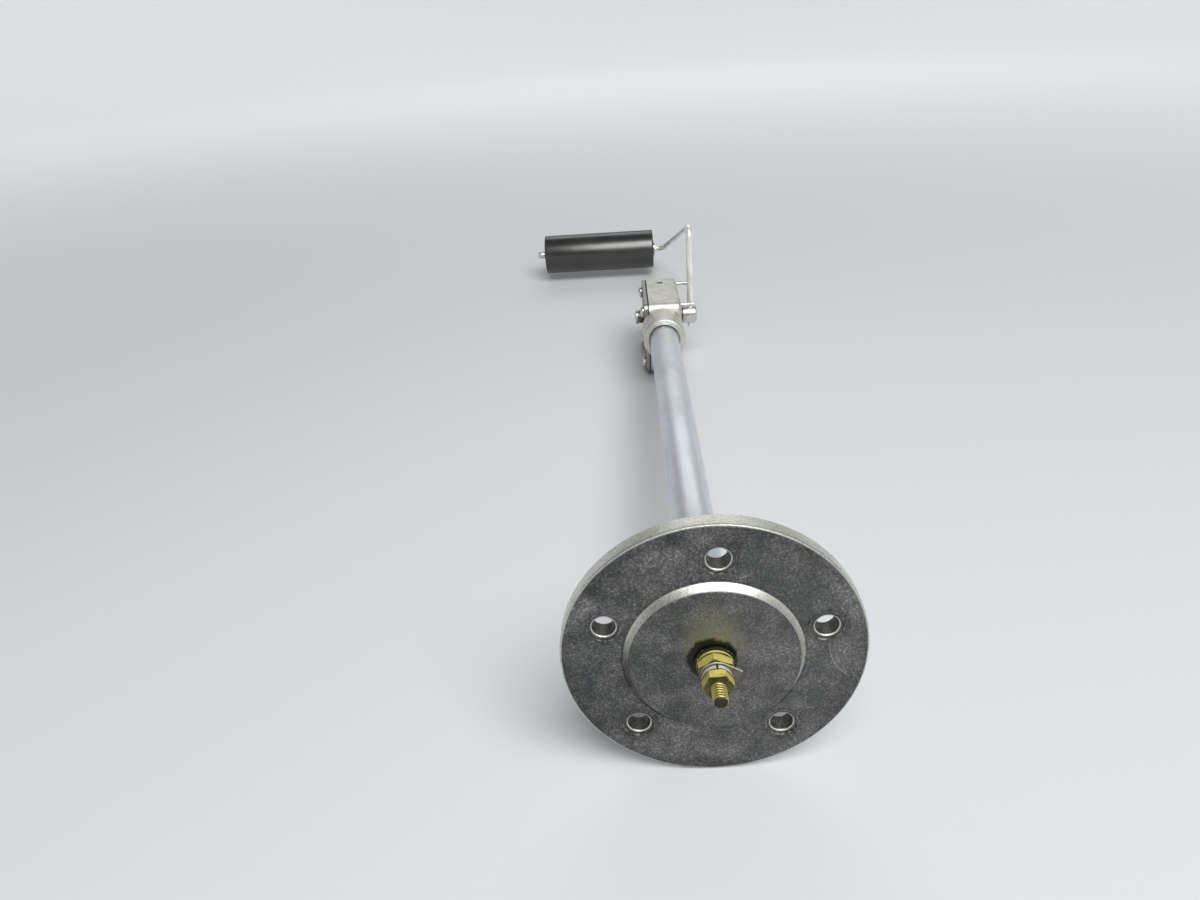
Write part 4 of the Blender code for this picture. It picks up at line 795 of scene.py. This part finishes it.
def soften(piece, edge, sharp_degrees, flat_faced):
    """Welds a solid, rounds its sharp edges by a hair and shades the rest smooth."""
    weld = piece.modifiers.new("weld", "WELD")
    weld.merge_threshold = 0.001 * MM
    flat = piece.modifiers.new("join flat faces", "DECIMATE")
    flat.decimate_type = "DISSOLVE"
    flat.angle_limit = math.radians(0.5)
    if edge:
        rounded = piece.modifiers.new("edges", "BEVEL")
        rounded.width = edge
        rounded.segments = 2
        rounded.limit_method = "ANGLE"
        rounded.angle_limit = math.radians(sharp_degrees)
        rounded.use_clamp_overlap = True
    group = bpy.data.node_groups.get(f"soft_normals_{sharp_degrees}") or soft_normals(sharp_degrees)
    piece.modifiers.new("normals", "NODES").node_group = group
    if flat_faced:
        weighted = piece.modifiers.new("flat faces stay flat", "WEIGHTED_NORMAL")
        weighted.keep_sharp = True


def dress(names, material, edge=0.0, sharp_degrees=SHARP_DEGREES, flat_faced=False):
    """Gives pieces one finish, soft edges of the given width and smooth shading."""
    for name in names:
        node = frame["nodes"][name]
        node.material_slots[0].material = material
        soften(node, edge, sharp_degrees, flat_faced)


def new_piece(name, shape, material):
    """An object from a finished bmesh."""
    mesh = bpy.data.meshes.new(name)
    bmesh.ops.recalc_face_normals(shape, faces=shape.faces)
    shape.to_mesh(mesh)
    shape.free()
    mesh.materials.append(material)
    piece = bpy.data.objects.new(name, mesh)
    bpy.context.scene.collection.objects.link(piece)
    return piece


def bridge_rings(shape, rings):
    """Skins a run of rings and closes both ends."""
    count = len(rings[0])
    for before, after in zip(rings, rings[1:]):
        for step in range(count):
            ahead = (step + 1) % count
            shape.faces.new((before[step], before[ahead], after[ahead], after[step]))
    shape.faces.new(rings[0])
    shape.faces.new(rings[-1])


def threaded_stud(look, material):
    """The terminal stud with a real helical thread, between the CAD stud's own ends."""
    rows = round((STUD_HIGH.y - STUD_LOW.y) / look.pitch * look.steps_per_thread)
    shape = bmesh.new()
    rings = []
    for row in range(rows + 1):
        y = STUD_LOW.y + (STUD_HIGH.y - STUD_LOW.y) * row / rows
        from_end = min(y - STUD_LOW.y, STUD_HIGH.y - y)
        limit = STUD_RADIUS - max(0.0, look.chamfer - from_end)
        ring = []
        for step in range(look.steps_round):
            turn = step / look.steps_round
            phase = (y / look.pitch - turn) % 1.0
            groove = max(0.0, 1.0 - abs(2.0 * phase - 1.0) * 1.25)
            reach = min(limit, STUD_RADIUS - look.thread_depth * groove)
            angle = 2.0 * math.pi * turn
            ring.append(shape.verts.new((reach * math.cos(angle), y, reach * math.sin(angle))))
        rings.append(ring)
    bridge_rings(shape, rings)
    stud = new_piece("threaded_stud", shape, material)
    stud.data.polygons.foreach_set("use_smooth", [True] * len(stud.data.polygons))
    stud.data.set_sharp_from_angle(angle=math.radians(40))
    return stud


def add_lamp(name, where, target, size, power):
    """A soft rectangular lamp that looks at the target."""
    light = bpy.data.lights.new(name, "AREA")
    light.shape = "RECTANGLE"
    light.size, light.size_y = size
    light.energy = power
    lamp = bpy.data.objects.new(name, light)
    lamp.location = where
    lamp.rotation_mode = "QUATERNION"
    lamp.rotation_quaternion = (Vector(target) - Vector(where)).to_track_quat("-Z", "Y")
    bpy.context.scene.collection.objects.link(lamp)


def sweep_paint(look):
    """Plain pale floor, seen from above only, so that a low camera can look up at the part.

    Far from the part it glows a little for the camera and for reflections, where the lamps fade.
    """
    paint = Paint("pale_sweep")
    x, y, _ = paint.axes()
    far = (x * x + y * y).root().rise(look.floor_radius * 0.2, look.floor_radius)
    rays = paint.node("ShaderNodeLightPath").outputs
    seen = Field(paint, rays["Is Camera Ray"]) + Field(paint, rays["Is Glossy Ray"])
    seen = (seen + Field(paint, rays["Is Transmission Ray"])).rise(0.0, 1.0)
    glow = paint.blend((0.0, 0.0, 0.0), look.floor, far * seen * look.far_glow)
    paint.feed(paint.shader.inputs["Emission Color"], glow)
    paint.feed(paint.shader.inputs["Emission Strength"], 1.0)
    paint.finish(look.floor, 0.7, 0.0)
    through = paint.node("ShaderNodeBsdfTransparent")
    side = paint.node("ShaderNodeNewGeometry")
    mixed = paint.node(
        "ShaderNodeMixShader",
        None,
        {0: side.outputs["Backfacing"], 1: paint.shader.outputs[0], 2: through.outputs[0]},
    )
    paint.feed(paint.tree.nodes["Material Output"].inputs["Surface"], mixed.outputs[0])
    return paint.material


def floor_below(names):
    """Nodes that take the floor down with any piece that swings below it, so that none is hidden."""
    nodes = MeshNodes("floor_below_the_pieces")
    level = 0.0
    for name in names:
        piece = nodes.node(
            "GeometryNodeObjectInfo",
            {"transform_space": "RELATIVE"},
            {"Object": frame["nodes"][name]},
        )
        box = nodes.node("GeometryNodeBoundBox", None, {"Geometry": piece.outputs["Geometry"]})
        corner = nodes.node("ShaderNodeSeparateXYZ", None, {"Vector": box.outputs["Min"]})
        level = nodes.math("MINIMUM", corner.outputs["Z"], level)
    drop = nodes.node("ShaderNodeCombineXYZ", None, {"Z": level})
    lowered = nodes.node(
        "GeometryNodeTransform",
        None,
        {"Geometry": nodes.mesh, "Translation": drop.outputs["Vector"]},
    )
    return nodes.finish(lowered.outputs["Geometry"])


def add_floor(look):
    """A round floor whose edge sweeps up all round, tilted as the part lies on it."""
    shape = bmesh.new()
    centre = shape.verts.new((0.0, 0.0, 0.0))
    rings = []
    for step in range(SWEEP_STEPS + 1):
        rise = SWEEP_ANGLE * step / SWEEP_STEPS
        radius = look.floor_radius + look.sweep_radius * math.sin(rise)
        height = look.sweep_radius * (1 - math.cos(rise))
        ring = []
        for side in range(FLOOR_SIDES):
            angle = 2 * math.pi * side / FLOOR_SIDES
            ring.append(shape.verts.new((radius * math.cos(angle), radius * math.sin(angle), height)))
        rings.append(ring)
    for side in range(FLOOR_SIDES):
        ahead = (side + 1) % FLOOR_SIDES
        shape.faces.new((centre, rings[0][side], rings[0][ahead]))
        for before, after in zip(rings, rings[1:]):
            shape.faces.new((before[side], after[side], after[ahead], before[ahead]))
    mesh = bpy.data.meshes.new("pale_floor")
    shape.to_mesh(mesh)
    shape.free()
    mesh.materials.append(sweep_paint(look))
    mesh.polygons.foreach_set("use_smooth", [True] * len(mesh.polygons))
    floor = bpy.data.objects.new("pale_floor", mesh)
    floor.location = (0.0, 0.0, -look.rest_height)
    floor.rotation_euler = (math.atan(look.slope), 0.0, 0.0)
    bpy.context.scene.collection.objects.link(floor)
    floor.modifiers.new("stay below the part", "NODES").node_group = floor_below(LOW_PIECES)


class TRANSMITTER_OT_stage(bpy.types.Operator):
    """Builds the pale floor, the soft lamps and the room light"""

    bl_idname = "transmitter.stage"
    bl_label = "Set the stage"

    def execute(self, context):
        look = context.scene.transmitter_stage
        add_floor(look)
        middle = (CAD_BOX[0] + CAD_BOX[1]) / 2
        key_size = (look.lamp_width, look.key_depth)
        back_size = (look.lamp_width, look.back_depth)
        add_lamp("key_lamp", look.key_place, middle, key_size, look.key_power)
        add_lamp("back_lamp", look.back_place, middle, back_size, look.back_power)
        world = bpy.data.worlds.new("studio_room")
        world.use_nodes = True
        background = world.node_tree.nodes["Background"]
        background.inputs["Color"].default_value = (1.0, 1.0, 1.0, 1.0)
        background.inputs["Strength"].default_value = look.world_level
        context.scene.world = world
        context.scene.view_settings.view_transform = "Standard"
        return {"FINISHED"}


class TRANSMITTER_OT_camera(bpy.types.Operator):
    """Puts the camera where the photograph was taken from"""

    bl_idname = "transmitter.camera"
    bl_label = "Set the camera"

    def execute(self, context):
        look = context.scene.transmitter_stage
        lens = bpy.data.cameras.new("photo_camera")
        lens.sensor_width = 36.0
        lens.lens = look.camera_lens
        lens.clip_start = 0.01
        lens.clip_end = 20.0
        camera = bpy.data.objects.new("photo_camera", lens)
        sight = Vector(look.camera_aim) - Vector(look.camera_place)
        camera.location = look.camera_place
        camera.rotation_mode = "QUATERNION"
        camera.rotation_quaternion = sight.to_track_quat("-Z", "Y") @ Quaternion(
            (0.0, 0.0, 1.0), look.camera_roll
        )
        context.scene.collection.objects.link(camera)
        context.scene.camera = camera
        return {"FINISHED"}


class TRANSMITTER_OT_flange(bpy.types.Operator):
    """Gives the mounting flange its dark mottled skin and bare edges"""

    bl_idname = "transmitter.flange"
    bl_label = "Finish the flange"

    def execute(self, context):
        look = context.scene.transmitter_flange
        dress(["mounting_flange"], flange_paint(look), FLANGE_EDGE, flat_faced=True)
        return {"FINISHED"}


class TRANSMITTER_OT_stem(bpy.types.Operator):
    """Gives the stem its drawn metal"""

    bl_idname = "transmitter.stem"
    bl_label = "Finish the stem"

    def execute(self, context):
        dress(["stem_tube"], stem_paint(context.scene.transmitter_stem), SOFT_EDGE)
        return {"FINISHED"}


class TRANSMITTER_OT_terminal(bpy.types.Operator):
    """Threads the stud and finishes the brass, plated and black terminal pieces"""

    bl_idname = "transmitter.terminal"
    bl_label = "Finish the terminal"

    def execute(self, context):
        look = context.scene.transmitter_terminal
        brass = brass_paint(look)
        stud = threaded_stud(look, brass_paint(look, "threaded_brass", True))
        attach(stud, "root")
        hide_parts("terminal_stud")
        dress(["stud_locknut", "terminal_nut", "inner_stud_nut"], brass, TURNED_EDGE, flat_faced=True)
        dress(["terminal_flat_washer", "inner_stud_washer"], brass, TURNED_EDGE)
        dress(["terminal_tag", "terminal_spring_washer"], nickel_paint(look), FINE_EDGE, flat_faced=True)
        insulators = ["terminal_outer_insulator", "terminal_inner_insulator"]
        dress(insulators, insulator_paint(look), FINE_EDGE)
        return {"FINISHED"}


class TRANSMITTER_OT_head(bpy.types.Operator):
    """Finishes the cast head, its cover and gasket, and the pivot's bushes"""

    bl_idname = "transmitter.head"
    bl_label = "Finish the sender head"

    def execute(self, context):
        look = context.scene.transmitter_head
        dress(["sender_housing"], head_paint(look), SOFT_EDGE, flat_faced=True)
        dress(["housing_cover"], plate_paint(look), COVER_EDGE, flat_faced=True)
        dress(["cover_gasket"], gasket_paint(look))
        dress(["housing_bush", "cover_bush"], bronze_paint(look), FINE_EDGE)
        return {"FINISHED"}


class TRANSMITTER_OT_steel(bpy.types.Operator):
    """Finishes the screws, pins, pivot shaft and wire arm"""

    bl_idname = "transmitter.steel"
    bl_label = "Finish the steel pieces"

    def execute(self, context):
        look = context.scene.transmitter_steel
        steel = steel_paint("bright_steel", look.steel, look, (1.0, 1.0, 1.0))
        screws = [f"cover_screw_{number}" for number in range(1, 5)]
        dress([*screws, "card_screw_front", "card_screw_back"], steel, FINE_EDGE)
        dress(["stop_pin_front", "stop_pin_back", "pivot_shaft"], steel, TURNED_EDGE)
        dress(["arm_clamp_screw", "shaft_end_ring"], steel, FINE_EDGE)
        dress(["float_washer", "float_end_cap"], steel, FINE_EDGE)
        wire = steel_paint("arm_wire_metal", look.wire, look, (1.0, 0.3, 0.3), look.wire_satin)
        dress(["float_arm_wire"], wire, sharp_degrees=WIRE_SHARP_DEGREES)
        return {"FINISHED"}


class TRANSMITTER_OT_float(bpy.types.Operator):
    """Gives the float its closed cell skin"""

    bl_idname = "transmitter.float"
    bl_label = "Finish the float"

    def execute(self, context):
        dress(["float"], float_paint(context.scene.transmitter_float), FLOAT_EDGE)
        return {"FINISHED"}


class TRANSMITTER_OT_element(bpy.types.Operator):
    """Finishes the resistance element, the wiper and the lead inside the head"""

    bl_idname = "transmitter.element"
    bl_label = "Finish the element"

    def execute(self, context):
        look = context.scene.transmitter_element
        dress(["element_card"], card_paint(look), FINE_EDGE)
        dress(["resistance_winding"], winding_paint(look))
        dress(["wiper_contact"], contact_paint(look))
        dress(["lead_wire"], sleeve_paint(look))
        dress(["wiper_hub"], bpy.data.materials["black_moulding"], FINE_EDGE)
        dress(["wiper_blade"], bpy.data.materials["aged_brass"])
        return {"FINISHED"}


class TRANSMITTER_PT_looks(bpy.types.Panel):
    """Lists the transmitter's pieces and their finishes"""

    bl_idname = "TRANSMITTER_PT_looks"
    bl_label = "Fuel level transmitter"
    bl_space_type = "VIEW_3D"
    bl_region_type = "UI"
    bl_category = "Transmitter"

    def draw(self, context):
        for operator in OPERATORS:
            self.layout.operator(operator.bl_idname)
        for attribute, group in LOOKS.items():
            box = self.layout.box()
            box.label(text=group.__doc__)
            look = getattr(context.scene, attribute)
            for name in group.__annotations__:
                box.prop(look, name)


OPERATORS = (
    TRANSMITTER_OT_stage,
    TRANSMITTER_OT_camera,
    TRANSMITTER_OT_flange,
    TRANSMITTER_OT_stem,
    TRANSMITTER_OT_terminal,
    TRANSMITTER_OT_head,
    TRANSMITTER_OT_steel,
    TRANSMITTER_OT_float,
    TRANSMITTER_OT_element,
)


def register():
    for item in (*LOOKS.values(), *OPERATORS, TRANSMITTER_PT_looks):
        bpy.utils.register_class(item)
    for attribute, group in LOOKS.items():
        setattr(bpy.types.Scene, attribute, PointerProperty(type=group))


def unregister():
    for attribute in LOOKS:
        delattr(bpy.types.Scene, attribute)
    for item in (TRANSMITTER_PT_looks, *reversed(OPERATORS), *LOOKS.values()):
        bpy.utils.unregister_class(item)


def main():
    register()
    bpy.ops.transmitter.stage()
    bpy.ops.transmitter.camera()
    bpy.ops.transmitter.flange()
    bpy.ops.transmitter.stem()
    bpy.ops.transmitter.terminal()
    bpy.ops.transmitter.head()
    bpy.ops.transmitter.steel()
    bpy.ops.transmitter.float()
    bpy.ops.transmitter.element()


if __name__ == "__main__":
    main()
